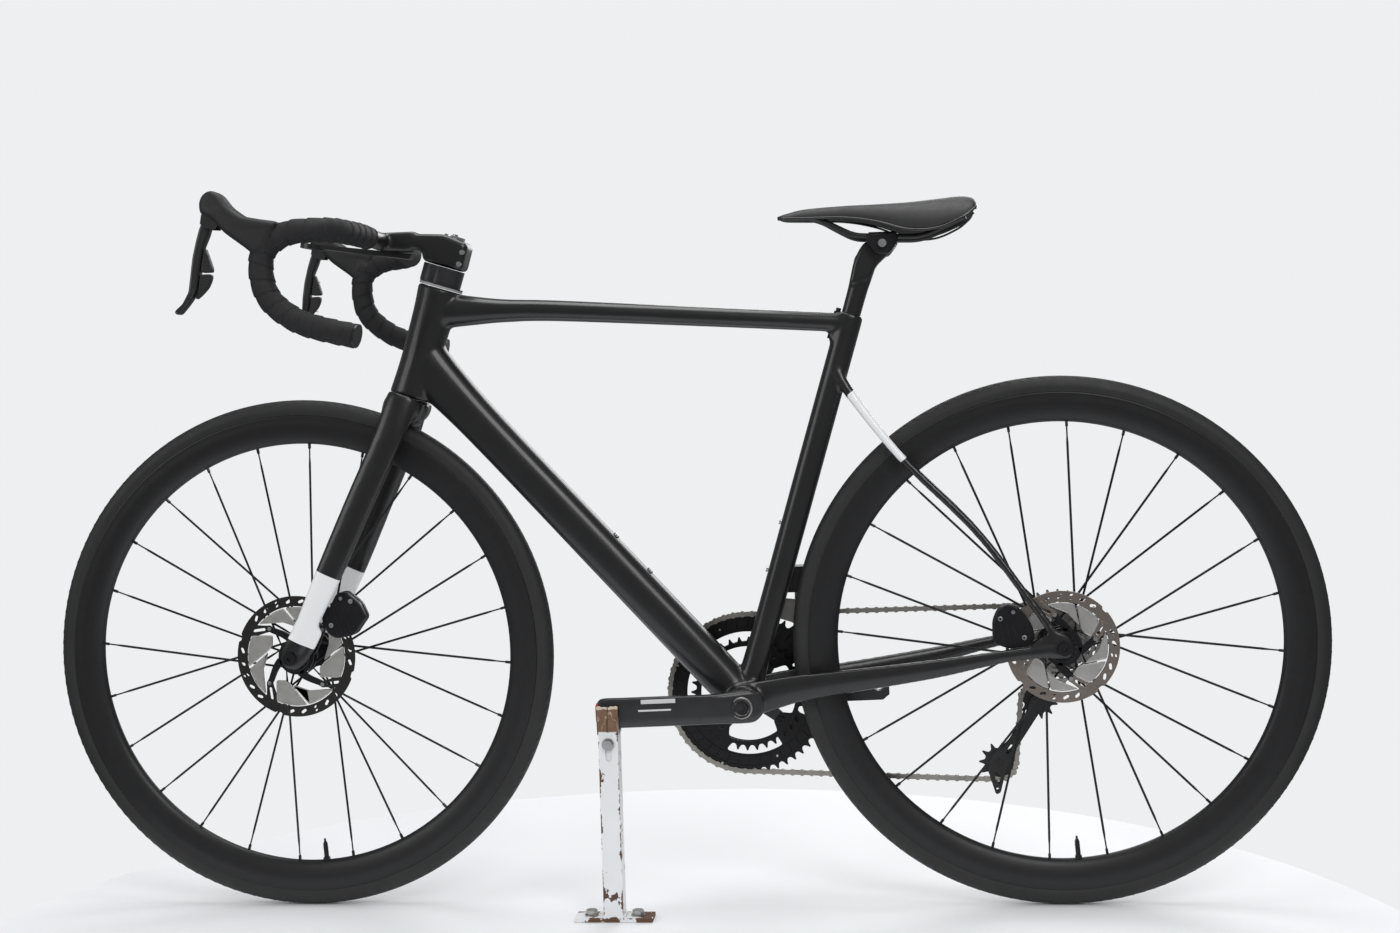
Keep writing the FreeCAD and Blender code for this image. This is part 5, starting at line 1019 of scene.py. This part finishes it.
ringShape = {
    "outer": (52, -47.0), "inner": (36, -39.5), "thick": 1.4, "pitch": 12.7, "toothHigh": 3.2, "tipHalf": 0.9,
    "roller": 4.0, "bolts": 55.0, "phase": 40.0, "bore": 62.0, "tab": 48.0, "window": (69.5, 82.0, 27.0),
    "ribs": (85.0, 98.0), "rib": [(-0.7, -0.2), (-0.5, 0.8), (0.5, 0.8), (0.7, -0.2)], "pins": (101, 92),
    "bolt": [(2.6, -38.9), (2.6, -37.7), (4.4, -37.7), (5.2, -38.3), (5.2, -38.9), (4, -38.9), (4, -47.6),
             (5.2, -47.6), (5.2, -48.3), (4.6, -48.8), (2.6, -48.8)],
}


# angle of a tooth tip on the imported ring, so that the new teeth meet the chain
def toothAngle(mesh, teeth, low, high, tip):
    total = Vector((0, 0))
    for v in mesh.vertices:
        x, y, z = v.co.x / mm - crankAt.x, v.co.y / mm, v.co.z / mm - crankAt.z
        if low < y < high and math.hypot(x, z) > tip - 0.2:
            turn = math.atan2(z, x) * teeth
            total += Vector((math.cos(turn), math.sin(turn)))
    return math.degrees(math.atan2(total.y, total.x)) / teeth


def ringPlate(teeth, y, window):
    r = ringShape
    x, z = crankAt.x, crankAt.z
    radius = r["pitch"] / 2 / math.sin(math.pi / teeth)
    tip = radius + r["toothHigh"]
    step = 360 / teeth
    first = toothAngle(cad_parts["chainrings"].data, teeth, y - 2, y + 2, tip)
    outline = []
    for k in range(teeth):
        gap = first - step / 2 + k * step
        gx, gz = polar(x, z, radius, gap)
        outline += [polar(gx, gz, r["roller"], gap + 180 - t) for t in (-68, -34, 0, 34, 68)]
        half = math.degrees(r["tipHalf"] / tip)
        outline += [polar(x, z, tip, gap + step / 2 + t) for t in (-half, half)]
    hole = []
    for k in range(240):  # round bore with four tabs for the bolts
        near = min(abs((1.5 * k - r["phase"] - 90 * j + 180) % 360 - 180) for j in range(4))
        share = min(1.0, max(0.0, (15 - near) / 8))
        inward = (r["bore"] - r["tab"]) * share * share * (3 - 2 * share)
        hole.append(polar(x, z, r["bore"] + 1.2 - inward, 1.5 * k))
    loops = [outline, hole]
    if window:
        low, high, half = r["window"]
        for j in range(4):
            at = r["phase"] + 45 + 90 * j
            far = [polar(x, z, high, at - half + half * k / 6) for k in range(13)]
            near = [polar(x, z, low, at + half - half * k / 6) for k in range(13)]
            loops.append(rounded(far + near, 3, 3))
    return plate("ring", loops, y, r["thick"], 0.25, 1)


def makeRings():
    r = ringShape
    x, z = crankAt.x, crankAt.z
    teeth, y = r["outer"]
    parts = [ringPlate(teeth, y, True), ringPlate(*r["inner"], False)]
    face = y + r["thick"] / 2
    for radius in r["ribs"]:  # raised ribs on the face of the large ring
        parts.append(lathe("rib", [(radius + a, face + b) for a, b in r["rib"]], x, z, 144))
    low, high = r["ribs"]
    for k in range(40):
        a, b = polar(x, z, low, 9 * k), polar(x, z, high, 9 * k + 1.5)
        parts.append(bar((a[0], face, a[1]), (b[0], face, b[1]), 0.8, 8))
    rings = gather("chainring_plates", parts)
    dress(rings, "crankset", finishes["rings"], 35)
    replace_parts(rings, "chainrings")
    pins, bolts = [], []
    for k in range(8):
        a = polar(x, z, r["pins"][k % 2], 22 + 45 * k)
        pins.append(bar((a[0], face - 0.4, a[1]), (a[0], face + 0.9, a[1]), 1.5, 14))
    for k in range(4):
        at = polar(x, z, r["bolts"], r["phase"] + 90 * k)
        bolts.append(lathe("ring bolt", r["bolt"], *at, 28))
    dress(gather("chainring_pins", pins), "crankset", finishes["bolt"], 35)
    dress(gather("chainring_bolts", bolts), "crankset", finishes["alloy"], 35)


finishes["rings"] = plainFinish("black chainring", (0.009, 0.009, 0.010), 0.36, 0.5, grain=1500)
makeRings()

shiftShape = {
    "inner": [(-115, 380), (-120, 389), (-140, 396), (-166, 393), (-178, 378), (-182, 352), (-176, 345),
              (-166, 347), (-158, 362), (-136, 369), (-118, 371)],
    "innerY": (-42.4, -41.2), "outerY": (-53.2, -52.0), "outer": (111.6, 128.0, 99, 116), "top": (102, 114),
    "arm": (-172, -160, -42.4, -36.4, 388, 403.6), "above": 380.6,
}


def makeFrontCage():
    c = shiftShape
    low, high, start, end = c["outer"]
    x, z = crankAt.x, crankAt.z
    sector = [polar(x, z, high, start + (end - start) * k / 16) for k in range(17)]
    lower = [polar(x, z, low, end - (end - start) * k / 16) for k in range(17)]
    sector += [(a, max(b, c["above"])) for a, b in lower]
    start, end = c["top"]
    top = [polar(x, z, high, start + (end - start) * k / 6) for k in range(7)]
    top += [polar(x, z, high - 2, end - (end - start) * k / 6) for k in range(7)]
    parts = [slab("cage inner", rounded(c["inner"], 5), *c["innerY"], 0.35, 2)]
    parts.append(slab("cage outer", rounded(sector, 3), *c["outerY"], 0.35, 2))
    parts.append(slab("cage top", top, c["outerY"][1] - 0.6, c["innerY"][0] + 0.6, 0.3, 1))
    x0, x1, y0, y1, z0, z1 = c["arm"]
    parts.append(slab("cage arm", rounded([(x0, z0), (x1, z0), (x1, z1), (x0, z1)], 2), y0, y1, 0.8, 2))
    cage = gather("front_cage_plates", parts)
    dress(cage, "front_shifter_cage", finishes["cage"], 35)
    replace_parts(cage, "front_derailleur_cage")


# the outline runs from pulley to pulley, along the line between them and across it
pulleyCage = {
    "guide": (-473.0, 257.5), "tension": (-420.83, 175.73), "plates": (-40.22, -30.62),
    "outline": [("guide", -9, -6), ("guide", -9, 6), ("guide", 8, 10), ("tension", -20, 9),
                ("tension", 2, 12), ("tension", 33, 22), ("tension", 38, 18), ("tension", 14, -10),
                ("tension", -4, -12),
                ("tension", -30, -4), ("guide", 20, -4), ("guide", 6, -10)],
    "window": [(12, 2), (14, 11), (24, 15), (21, 6)], "slot": (-22, 2), "eye": (31, 16.5),
    "bolt": [(0.01, -29.8), (4.2, -29.8), (4.4, -29.2), (3.8, -28.6), (1.7, -28.6), (1.5, -29.1),
             (0.01, -29.1)],
}


def makePulleyCage():
    c = pulleyCage
    ends = {"guide": Vector(c["guide"]), "tension": Vector(c["tension"])}
    run = (ends["tension"] - ends["guide"]).normalized()
    side = Vector((run.y, -run.x))
    def at(end, a, b):
        return tuple(ends[end] + run * a + side * b)
    window = rounded([at("tension", *p) for p in c["window"]], 2)
    hole = slot(*at("tension", *c["slot"]), 14, 4, math.degrees(math.atan2(run.y, run.x)))
    eye = circle(*at("tension", *c["eye"]), 2.2, 14)
    outline = rounded([at(*p) for p in c["outline"]], 5)
    parts = [plate("cage plate", [outline, window, hole, eye], y, 1.4, 0.4, 2) for y in c["plates"]]
    for centre in ends.values():
        parts.append(bar((centre.x, -42.4, centre.y), (centre.x, -29.2, centre.y), 2.45, 20))
        parts.append(lathe("pulley bolt", c["bolt"], centre.x, centre.y, 24))
    x, z = ends["guide"]
    parts.append(bar((x, -54.4, z), (x, -40.3, z), 5, 28))
    cage = gather("pulley_cage_plates", parts)
    dress(cage, "rear_cage", finishes["plastic"], 35)
    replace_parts(cage, "pulley_cage")


finishes["cage"] = brushed("dark steel cage", (0.34, 0.33, 0.31), 0.34)
makeFrontCage()
makePulleyCage()
print("chainrings and shifting cages are ready")


barShape = {
    "route": [(368, 0, 881), (368, 60, 881), (371, 118, 880.5), (378, 162, 880), (398, 189, 879),
              (434, 196, 874), (458, 198, 856), (462, 200, 825), (452, 202, 797), (425, 205, 773),
              (388, 207, 758), (345, 209, 748)],
    "stem": [(-25, 28), (30, 28), (33, 40), (58, 38), (62, 52), (48, 60), (10, 70), (-24, 66)],
    "neck": [(325, 866), (368, 869), (376, 875), (376, 889), (368, 893), (320, 893)], "stemHalf": 20,
    "voxel": 2.0, "bar": 12.0, "tape": 15.5, "pitch": 19.0, "tapeFrom": 68.0, "leverY": 199.0,
}


def steerPoint(forward, high):
    spot = headTop + headAhead * forward + headUp * high
    return (spot.x, spot.z)


def makeBar():
    parts = bothSides(rod("bar", barShape["route"], barShape["bar"], 24, 8))
    half = barShape["stemHalf"]
    outline = [steerPoint(f, h + (0.7 if h < 30 else 0)) for f, h in barShape["stem"]]
    parts.append(slab("stem", rounded(outline, 7), -half, half, 6, 4))
    parts.append(slab("neck", rounded(barShape["neck"], 4), -half, half, 5, 4))
    skin = melt("carbon_bar", parts, barShape["voxel"], 12)
    dress(skin, "steering", finishes["carbon"], 60)
    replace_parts(skin, "handlebar")


# tape wound in overlapping turns, each with a raised edge
def makeTape(side):
    path = [Vector(p) for p in smoothRows(barShape["route"], 60)]
    path = [p for p in path if p.y > barShape["tapeFrom"]]
    spans = [0.0]
    for a, b in zip(path, path[1:]):
        spans.append(spans[-1] + (b - a).length)
    count, pitch = 40, barShape["pitch"]
    side0 = None
    rings = []
    for k, p in enumerate(path):
        if k % 2 and k < len(path) - 1:
            continue
        run = (path[min(k + 1, len(path) - 1)] - path[max(k - 1, 0)]).normalized()
        side0 = run.orthogonal() if side0 is None else side0 - run * side0.dot(run)
        side0.normalize()
        up = run.cross(side0)
        ring = []
        for j in range(count):
            t = 2 * math.pi * j / count
            turn = (spans[k] / pitch + j / count) % 1.0
            lap = turn ** 0.6 if turn < 0.93 else (1 - turn) / 0.07
            r = barShape["tape"] - 1.5 + 1.5 * lap + 0.25 * math.sin(3 * t + spans[k] * 0.11)
            if spans[k] < 4:
                r = barShape["bar"] + (r - barShape["bar"]) * (0.35 + 0.65 * spans[k] / 4)
            ring.append(p + side0 * (r * math.cos(t)) + up * (r * math.sin(t)))
        rings.append(ring)
    return onSide(rawMesh("tape", *bridge(rings)), side)


hoodShape = {
    "outline": [(436, 889), (458, 892.5), (480, 897), (497, 909.5), (508, 925), (519, 930.5), (530, 926),
                (535.5, 916), (534.5, 904), (530, 899.5), (518, 894), (504, 878), (488, 866), (476, 857),
                (468, 849), (452, 850)],
    "wide": [(430, 14.5), (455, 16.2), (480, 16.4), (505, 15.6), (520, 14.5), (536, 11)], "half": 17,
    "sleeve": ((449, 866), (462, 871), 16.8), "voxel": 1.3,
}


# rubber cover over the lever's body
def makeHood(side):
    y = barShape["leverY"]
    full, wide = hoodShape["half"], hoodShape["wide"]
    (x0, z0), (x1, z1), radius = hoodShape["sleeve"]
    parts = [slab("hood", rounded(hoodShape["outline"], 6), y - full, y + full, 8.5, 5)]
    parts.append(bar((x0, y - 2, z0), (x1, y - 2, z1), radius, 32))
    obj = gather("hood", parts)
    for v in obj.data.vertices:
        x = v.co.x / mm
        for (x0, w0), (x1, w1) in zip(wide, wide[1:]):
            if x0 <= x <= x1:
                half = w0 + (w1 - w0) * (x - x0) / (x1 - x0)
                v.co.y = (y + (v.co.y / mm - y) * half / full) * mm
    return onSide(freeMesh(skinOver(obj, hoodShape["voxel"], 6)), side)


leverShape = {
    "blade": [(521.5, 889), (523, 895.5), (528, 897.5), (533, 893), (537, 884), (541.3, 870.6), (546.5, 851),
              (550, 830), (552.6, 808), (558.5, 794), (566, 786), (566.3, 783), (563, 780.6), (558.8, 781.2),
              (552, 791), (546.5, 800), (542, 812), (539, 828), (536, 845), (532.5, 862), (526, 876)],
    "half": 6.4, "flare": (14.0, 822, 42),
    "upper": ([(530.8, 862), (527, 851), (522.4, 836), (523, 831.5), (537.4, 831.5), (534.8, 846)], 836, 852),
    "lower": ([(523.2, 829.5), (525, 821), (529.4, 812.5), (538, 804), (545.2, 798.6), (541, 811),
               (537.8, 829.5)], 809, 825),
}


def makeLever(side):
    name = "left" if side > 0 else "right"
    y = barShape["leverY"]
    half = leverShape["half"]
    flare, start, reach = leverShape["flare"]
    mesh = slab("blade", rounded(leverShape["blade"], 2.5, 3), y - half, y + half, 2.6, 4)
    for v in mesh.vertices:
        z = v.co.z / mm
        if z < start:  # the tip turns outward
            v.co.y += flare * ((start - z) / reach) ** 1.6 * mm
    obj = newObject(name + "_lever_blade", onSide(mesh, side))
    dress(obj, name + "_lever", finishes["lever"], 35)
    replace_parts(obj, name + "_brake_lever")


# thin moulded plates with a ribbed face
def makePaddles():
    y = barShape["leverY"]
    for side, name in ((1, "left"), (-1, "right")):
        for kind in ("upper", "lower"):
            outline, low, high = leverShape[kind]
            middle = sum(p[0] for p in outline) / len(outline)
            parts = [slab("paddle", rounded(outline, 4, 4), y - 4, y + 5, 1.2, 2)]
            for k in range(5):
                z = low + (high - low) * k / 4
                parts.append(bar((middle - 3.5, y + 5, z - 1), (middle + 3.5, y + 5, z + 1), 0.5, 6))
            mesh = onSide(freeMesh(gather("paddle", parts)), side)
            obj = newObject(name + "_" + kind + "_paddle_skin", mesh)
            dress(obj, name + "_" + kind + "_paddle", finishes["plastic"], 35)
            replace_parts(obj, name + "_" + kind + "_shift_paddle")


tapeTones = ((0.007, 0.007, 0.008), (0.015, 0.015, 0.017))
hoodTones = ((0.008, 0.008, 0.009), (0.015, 0.015, 0.017))
finishes["tape"] = mottled("bar tape", tapeTones, (70, 4), (0.6, 0.85, 240, 4), (1500, 3, 0.35, 0.0002))
finishes["hood"] = mottled("hood rubber", hoodTones, (60, 3), (0.45, 0.68, 200, 3), (1100, 2, 0.25, 0.0002))
finishes["lever"] = plainFinish("lever composite", (0.010, 0.010, 0.011), 0.3, grain=1800,
                                Coat_Weight=0.2, Coat_Roughness=0.12)
finishes["carbon"] = carbonFinish("carbon bar")
makeBar()
tape = gather("bar_tape_turns", [makeTape(1), makeTape(-1)])
dress(tape, "steering", finishes["tape"], 50)
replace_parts(tape, "bar_tape")
hood = gather("lever_hood_covers", [makeHood(1), makeHood(-1)])
dress(hood, "steering", finishes["hood"], 60)
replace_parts(hood, "lever_hoods")
makeLever(1)
makeLever(-1)
makePaddles()
print("bar, tape, hoods and levers are ready")


# x, top, low, underside, half width
saddleShape = {
    "stations": [(-154, 892.5, 889.2, 888.7, 7), (-158, 893.6, 888.9, 888.6, 12.5),
                 (-166, 895.8, 887.5, 888, 17), (-190, 900.5, 886.5, 888, 20),
                 (-240, 902.6, 884.5, 887.5, 25), (-280, 902.6, 877, 887, 36),
                 (-320, 902.9, 863.5, 886.5, 55), (-355, 904.8, 862.5, 886.5, 67),
                 (-385, 906.6, 873.5, 888, 70), (-400, 904, 884, 890, 64), (-404.5, 899, 889, 891, 54)],
    "crease": (0.9, 0.16),
}


def makeSaddle():
    rows = smoothRows(saddleShape["stations"], 8)
    crease, share = saddleShape["crease"]  # depth of the groove along the middle and its share of the width
    rings = []
    for x, top, low, under, half in rows:
        half = max(half, 5)
        high, lip = top - low, min(4.5, half * 0.3)
        deep = crease if half > 30 else 0
        ring = []
        for k in range(33):  # the top, from one edge to the other
            u = -1 + 2 * k / 32
            fall = (high - 1.2) * abs(u) ** 3.4 + deep * max(0, 1 - abs(u) / share) ** 2
            ring.append((x, half * math.copysign(abs(u) ** 0.86, u), top - fall))
        for k in range(1, 20):  # the hollow underside
            u = 1 - 2 * k / 20
            z = min(under, top - 3) - max(under - low, 0) * abs(u) ** 4.5
            ring.append((x, (half - lip * 0.5) * u, z))
        rings.append(ring)
    obj = newObject("saddle_pad", rawMesh("saddle", *bridge(rings)))
    soft = obj.modifiers.new("soft", "SMOOTH")
    soft.iterations = 3
    settle(obj)
    tones = ((0.008, 0.008, 0.009), (0.014, 0.014, 0.015))
    finish = mottled("saddle cover", tones, (25, 4), (0.42, 0.62, 120, 4), (1300, 3, 0.2, 0.0002))
    dress(obj, "saddle_body", finish, 50)
    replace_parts(obj, "saddle")


postShape = {
    "rows": [(-150, 12.5, 10.3), (-60, 12.5, 10.3), (0, 12.5, 10.3), (30, 12.8, 10.8), (44, 13.6, 11.8),
             (58, 14.4, 12.8), (72, 15, 13.2)],
    "head": [(-243, 800), (-249, 828), (-257, 846), (-266, 857), (-307, 856.5), (-302, 845), (-290, 835),
             (-279, 825), (-270, 806)], "headHalf": 13.2, "voxel": 1.5,
    "clamp": [(-21, 4), (-19, 14), (19, 14), (21, 4), (14, -6), (8, -13), (-8, -13), (-14, -6)],
    "bolt": (-287.0, 851.0),
}


def makePost():
    rows = [tuple(seatTop + seatUp * u) + (a, b) for u, a, b in postShape["rows"]]
    half = postShape["headHalf"]
    parts = [tube("post", rows, 32, 6, 2.2), slab("head", rounded(postShape["head"], 6), -half, half, 5, 4)]
    post = melt("carbon_post", parts, postShape["voxel"], 24)
    dress(post, "post_body", finishes["carbon"], 60)
    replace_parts(post, "seatpost")
    x, z = postShape["bolt"]
    outline = rounded([(x + a, z + b) for a, b in postShape["clamp"]], 5, 4)
    parts = bothSides(slab("ear", outline, 14.4, 27, 2.4, 3))
    for side in (-1, 1):  # a raised pad around the bolt, and the lips over the rail
        parts.append(bar((x, side * 26, z), (x, side * 28, z), 7.5, 32))
        parts.append(bar((x - 17, side * 20.7, z + 12), (x + 17, side * 20.7, z + 12), 3.2, 16))
    clamp = gather("clamp_ears", parts)
    dress(clamp, "saddle_body", finishes["alloy"], 35)
    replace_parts(clamp, "saddle_clamp")
    bolt = [bar((x, -31, z), (x, 31, z), 3.3, 24)]
    for side in (-1, 1):
        bolt.append(bar((x, side * 28, z), (x, side * 31.4, z), 5.2, 28))
        bolt.append(hexBar((x, side * 31.2, z), (x, side * 31.9, z), 4.6))
    dress(gather("clamp_cross_bolt", bolt), "saddle_body", finishes["bolt"], 35)


# gloss rim of the shell under the pad
def makeSaddleEdge():
    line = [(x, half - 0.7, low + 0.9) for x, _, low, _, half in saddleShape["stations"][1:]]
    x, _, low, _, half = saddleShape["stations"][-1]
    line.append((x - 0.6, half * 0.5, low + 1))
    obj = gather("saddle_edge", bothSides(rod("edge", line, 1.5, 12, 8)))
    dress(obj, "saddle_body", finishes["gloss"], 50)


makeSaddle()
makeSaddleEdge()
makePost()
print("saddle is ready")


standShape = {
    "x": 75.6, "y": 69.75, "tube": 25.0, "cup": (62.1, 89.1), "floor": 241.8, "rise": 30.0, "inner": 59.7,
    "outer": 79.8, "wear": 0.17, "chips": 0.62, "weld": (0.6, 5.2, 1.9), "paint": 0.7,
}


# thick white paint over steel, chipped and rusty toward its edges and foot
def paintFinish(name):
    finish, surface = shader(name, (0.78, 0.79, 0.80), 0.42)
    half = standShape["tube"] / 2
    coarse = noise(finish, 46, 5, roughness=0.65)
    fine = noise(finish, 210, 4, roughness=0.7)
    tone = mixColour(finish, noise(finish, 14, 3), (0.70, 0.71, 0.72), (0.83, 0.84, 0.85))
    def share(value, start, end):  # 0 at the start and 1 at the end
        made = node(finish, "ShaderNodeMapRange")
        made.inputs["From Min"].default_value = start
        made.inputs["From Max"].default_value = end
        join(finish, value, made.inputs["Value"])
        return made.outputs["Result"]
    def edge(direction, middle):
        return share(away(finish, direction, middle), (half - 2.6) * mm, (half + 0.2) * mm)
    corner = maths(finish, "MULTIPLY", edge((1, 0, 0), standShape["x"]), edge((0, 1, 0), standShape["y"]))
    foot = share(along(finish, (0, 0, 1)), 0.014, 0.0)
    worn = maths(finish, "MAXIMUM", corner, foot)
    wear = maths(finish, "MULTIPLY_ADD", worn, standShape["wear"], coarse)
    chip = compare(finish, wear, standShape["chips"])
    rust = mixColour(finish, fine, (0.10, 0.035, 0.012), (0.24, 0.11, 0.05))
    dark = mixColour(finish, coarse, rust, (0.06, 0.045, 0.035))
    join(finish, mixColour(finish, chip, tone, dark), surface.inputs["Base Color"])
    join(finish, mixColour(finish, chip, (0.4, 0.4, 0.4), (0.8, 0.8, 0.8)), surface.inputs["Roughness"])
    lift = maths(finish, "MULTIPLY_ADD", chip, -1.0, spread(finish, fine, 0.0, 0.12))
    bumpy(finish, surface, lift, 0.5, 0.0003)
    return finish


def leatherFinish():
    finish, surface = shader("worn leather", (0.19, 0.105, 0.055), 0.62)
    cloud = noise(finish, 90, 6, roughness=0.65)
    colour = mixColour(finish, cloud, (0.07, 0.034, 0.017), (0.24, 0.14, 0.078))
    folds = noise(finish, 1.0, 3, place(finish, (75, 75, 26)))
    fine = maths(finish, "ABSOLUTE", maths(finish, "SUBTRACT", folds, 0.5))
    crease = compare(finish, fine, 0.009, False)
    colour = mixColour(finish, crease, colour, (0.42, 0.31, 0.21))
    height = maths(finish, "MULTIPLY_ADD", noise(finish, 130, 4), 0.006, along(finish, (0, 0, 1)))
    torn = compare(finish, height, (standShape["floor"] + 32.8) * mm)
    colour = mixColour(finish, torn, colour, (0.55, 0.46, 0.36))
    seam = compare(finish, away(finish, (1, 0, 0.04), standShape["x"] + 10.3), 0.0006, False)
    colour = mixColour(finish, seam, colour, (0.025, 0.014, 0.009))
    join(finish, colour, surface.inputs["Base Color"])
    join(finish, spread(finish, noise(finish, 200, 4), 0.5, 0.8), surface.inputs["Roughness"])
    bumpy(finish, surface, noise(finish, 420, 4), 0.5, 0.0004)
    return finish


# worn leather folded inside the cup, with ragged turned-over tops
def makeLining():
    s = standShape
    x0, x1 = s["cup"][0] + 0.4, s["cup"][1] - 0.4
    inner, outer, floor = s["inner"], s["outer"], s["floor"]
    steps, rings = 26, []
    for k in range(steps + 1):
        x = x0 + (x1 - x0) * k / steps
        wave = 0.5 * math.sin(k * 0.9) + random.uniform(-0.35, 0.35)
        top = floor + s["rise"] - 0.6 + wave * 0.5
        line = [(inner + 0.2, top - 1.5), (inner + 0.3, floor + 5), (inner + 1.5, floor + 0.5)]
        line += [(inner + 4, floor + 0.2), (outer - 4, floor + 0.2), (outer - 1.5, floor + 0.5)]
        line += [(outer - 0.3, floor + 5), (outer - 0.2, top - 1.5), (outer - 0.6, top)]
        line += [(outer - 1.7, top + 0.1), (outer - 2.3, top - 1), (outer - 2.4, floor + 6)]
        line += [(outer - 3.8, floor + 2.4), (inner + 3.8, floor + 2.4), (inner + 2.4, floor + 6)]
        line += [(inner + 2.3, top - 1), (inner + 1.7, top + 0.1), (inner + 0.6, top)]
        rings.append([(x, y, z) for y, z in line])
    obj = newObject("leather_strip", rawMesh("lining", *bridge(rings)))
    # a second strip folded over the outer wall, as it shows from outside
    sheet = []
    cols, rows = 14, 16
    for r in range(rows + 1):
        v = r / rows
        z = floor + 1.4 + (s["rise"] + 1.6) * v
        row = []
        for c in range(cols + 1):
            u = c / cols
            x = s["cup"][0] - 0.2 + (s["cup"][1] - s["cup"][0] + 0.4) * u
            bump = 0.35 * math.sin(5.2 * u + 3 * v) + 0.25 * math.sin(11 * v - 2 * u)
            rag = (0.9 * math.sin(9 * u) + 0.6 * math.sin(23 * u)) * v ** 6
            row.append((x, outer + 3.75 + bump * 0.7, z + rag))
        sheet.append(row)
    points = [p for row in sheet for p in row]
    wide = cols + 1
    faces = []
    for r in range(rows):
        for c in range(cols):
            corner = r * wide + c
            faces.append((corner, corner + 1, corner + wide + 1, corner + wide))
    flap = newObject("leather_flap", rawMesh("flap", points, faces))
    thick = flap.modifiers.new("thick", "SOLIDIFY")
    thick.thickness = 1.3 * mm
    thick.offset = 0
    settle(flap)
    softEdge(flap, 0.4)
    settle(flap)
    leather = leatherFinish()
    dress(obj, "root", leather, 50)
    dress(flap, "root", leather, 50)
    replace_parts(obj, "stand_cup_lining")


def makeStand():
    for name in ("stand_post", "stand_cup"):
        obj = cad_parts[name]
        softEdge(obj, standShape["paint"], 3)
        obj.data.materials.clear()
        obj.data.materials.append(finishes["paint"])
    # a weld bead where the post meets its foot
    s = standShape
    out, high, thick = s["weld"]
    half = s["tube"] / 2 + out
    bead = [(s["x"] + a * half, s["y"] + b * half, high) for a, b in ((-1, -1), (1, -1), (1, 1), (-1, 1))]
    welds = []
    for a, b in zip(bead, bead[1:] + bead[:1]):
        line = [tuple(p + (q - p) * k / 12 for p, q in zip(a, b)) for k in range(13)]
        welds.append(rod("weld", line, lambda t: thick + 0.35 * math.sin(t * 75), 10, 4))
    dress(gather("stand_weld", welds), "root", finishes["paint"], 60)


finishes["paint"] = paintFinish("chipped white paint")
makeLining()
makeStand()
print("stand is ready")


# dark composite with a paler cover on top of the head tube
def spacerFinish():
    finish, surface = shader("spacer composite", (0.02, 0.02, 0.022), 0.34)
    cover = compare(finish, along(finish, tuple(headUp)), (headTop.dot(headUp) + 3.4) * mm, False)
    tone = mixColour(finish, noise(finish, 60, 3), (0.014, 0.014, 0.016), (0.028, 0.028, 0.03))
    join(finish, mixColour(finish, cover, tone, (0.30, 0.30, 0.31)), surface.inputs["Base Color"])
    bumpy(finish, surface, noise(finish, 900, 2), 0.08, 0.0001)
    return finish


finishes["spacer"] = spacerFinish()
finishes["dark"] = plainFinish("dark composite", (0.008, 0.008, 0.009), 0.34, grain=1600,
                               Coat_Weight=0.15, Coat_Roughness=0.15)
finishFor = {
    "steel": ["headset_bearings", "bottom_bracket_bearings", "cassette", "stand_anchor_bolts"],
    "bolt": ["bottle_cage_bolts", "stand_clamp_bolt", "stem_bolts"], "chain": ["chain"],
    "crankSkin": ["right_crank_arm"], "spacer": ["headset_spacers"],
    "dark": ["front_derailleur", "rear_derailleur_knuckle", "rear_derailleur_outer_link",
             "rear_derailleur_inner_link", "rear_derailleur_carrier", "computer_mount",
             "bar_end_plugs", "lever_brackets", "saddle_rails"],
    "plastic": ["guide_pulley", "tension_pulley"],
}
named = {name: key for key, names in finishFor.items() for name in names}
for name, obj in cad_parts.items():
    if obj.hide_render or name in ("stand_post", "stand_cup"):
        continue
    obj.data.materials.clear()
    obj.data.materials.append(finishes[named.get(name, "alloy")])
    softEdge(obj, 0.8 if name == "headset_spacers" else 0.25)
print("finishes of the other pieces are ready")
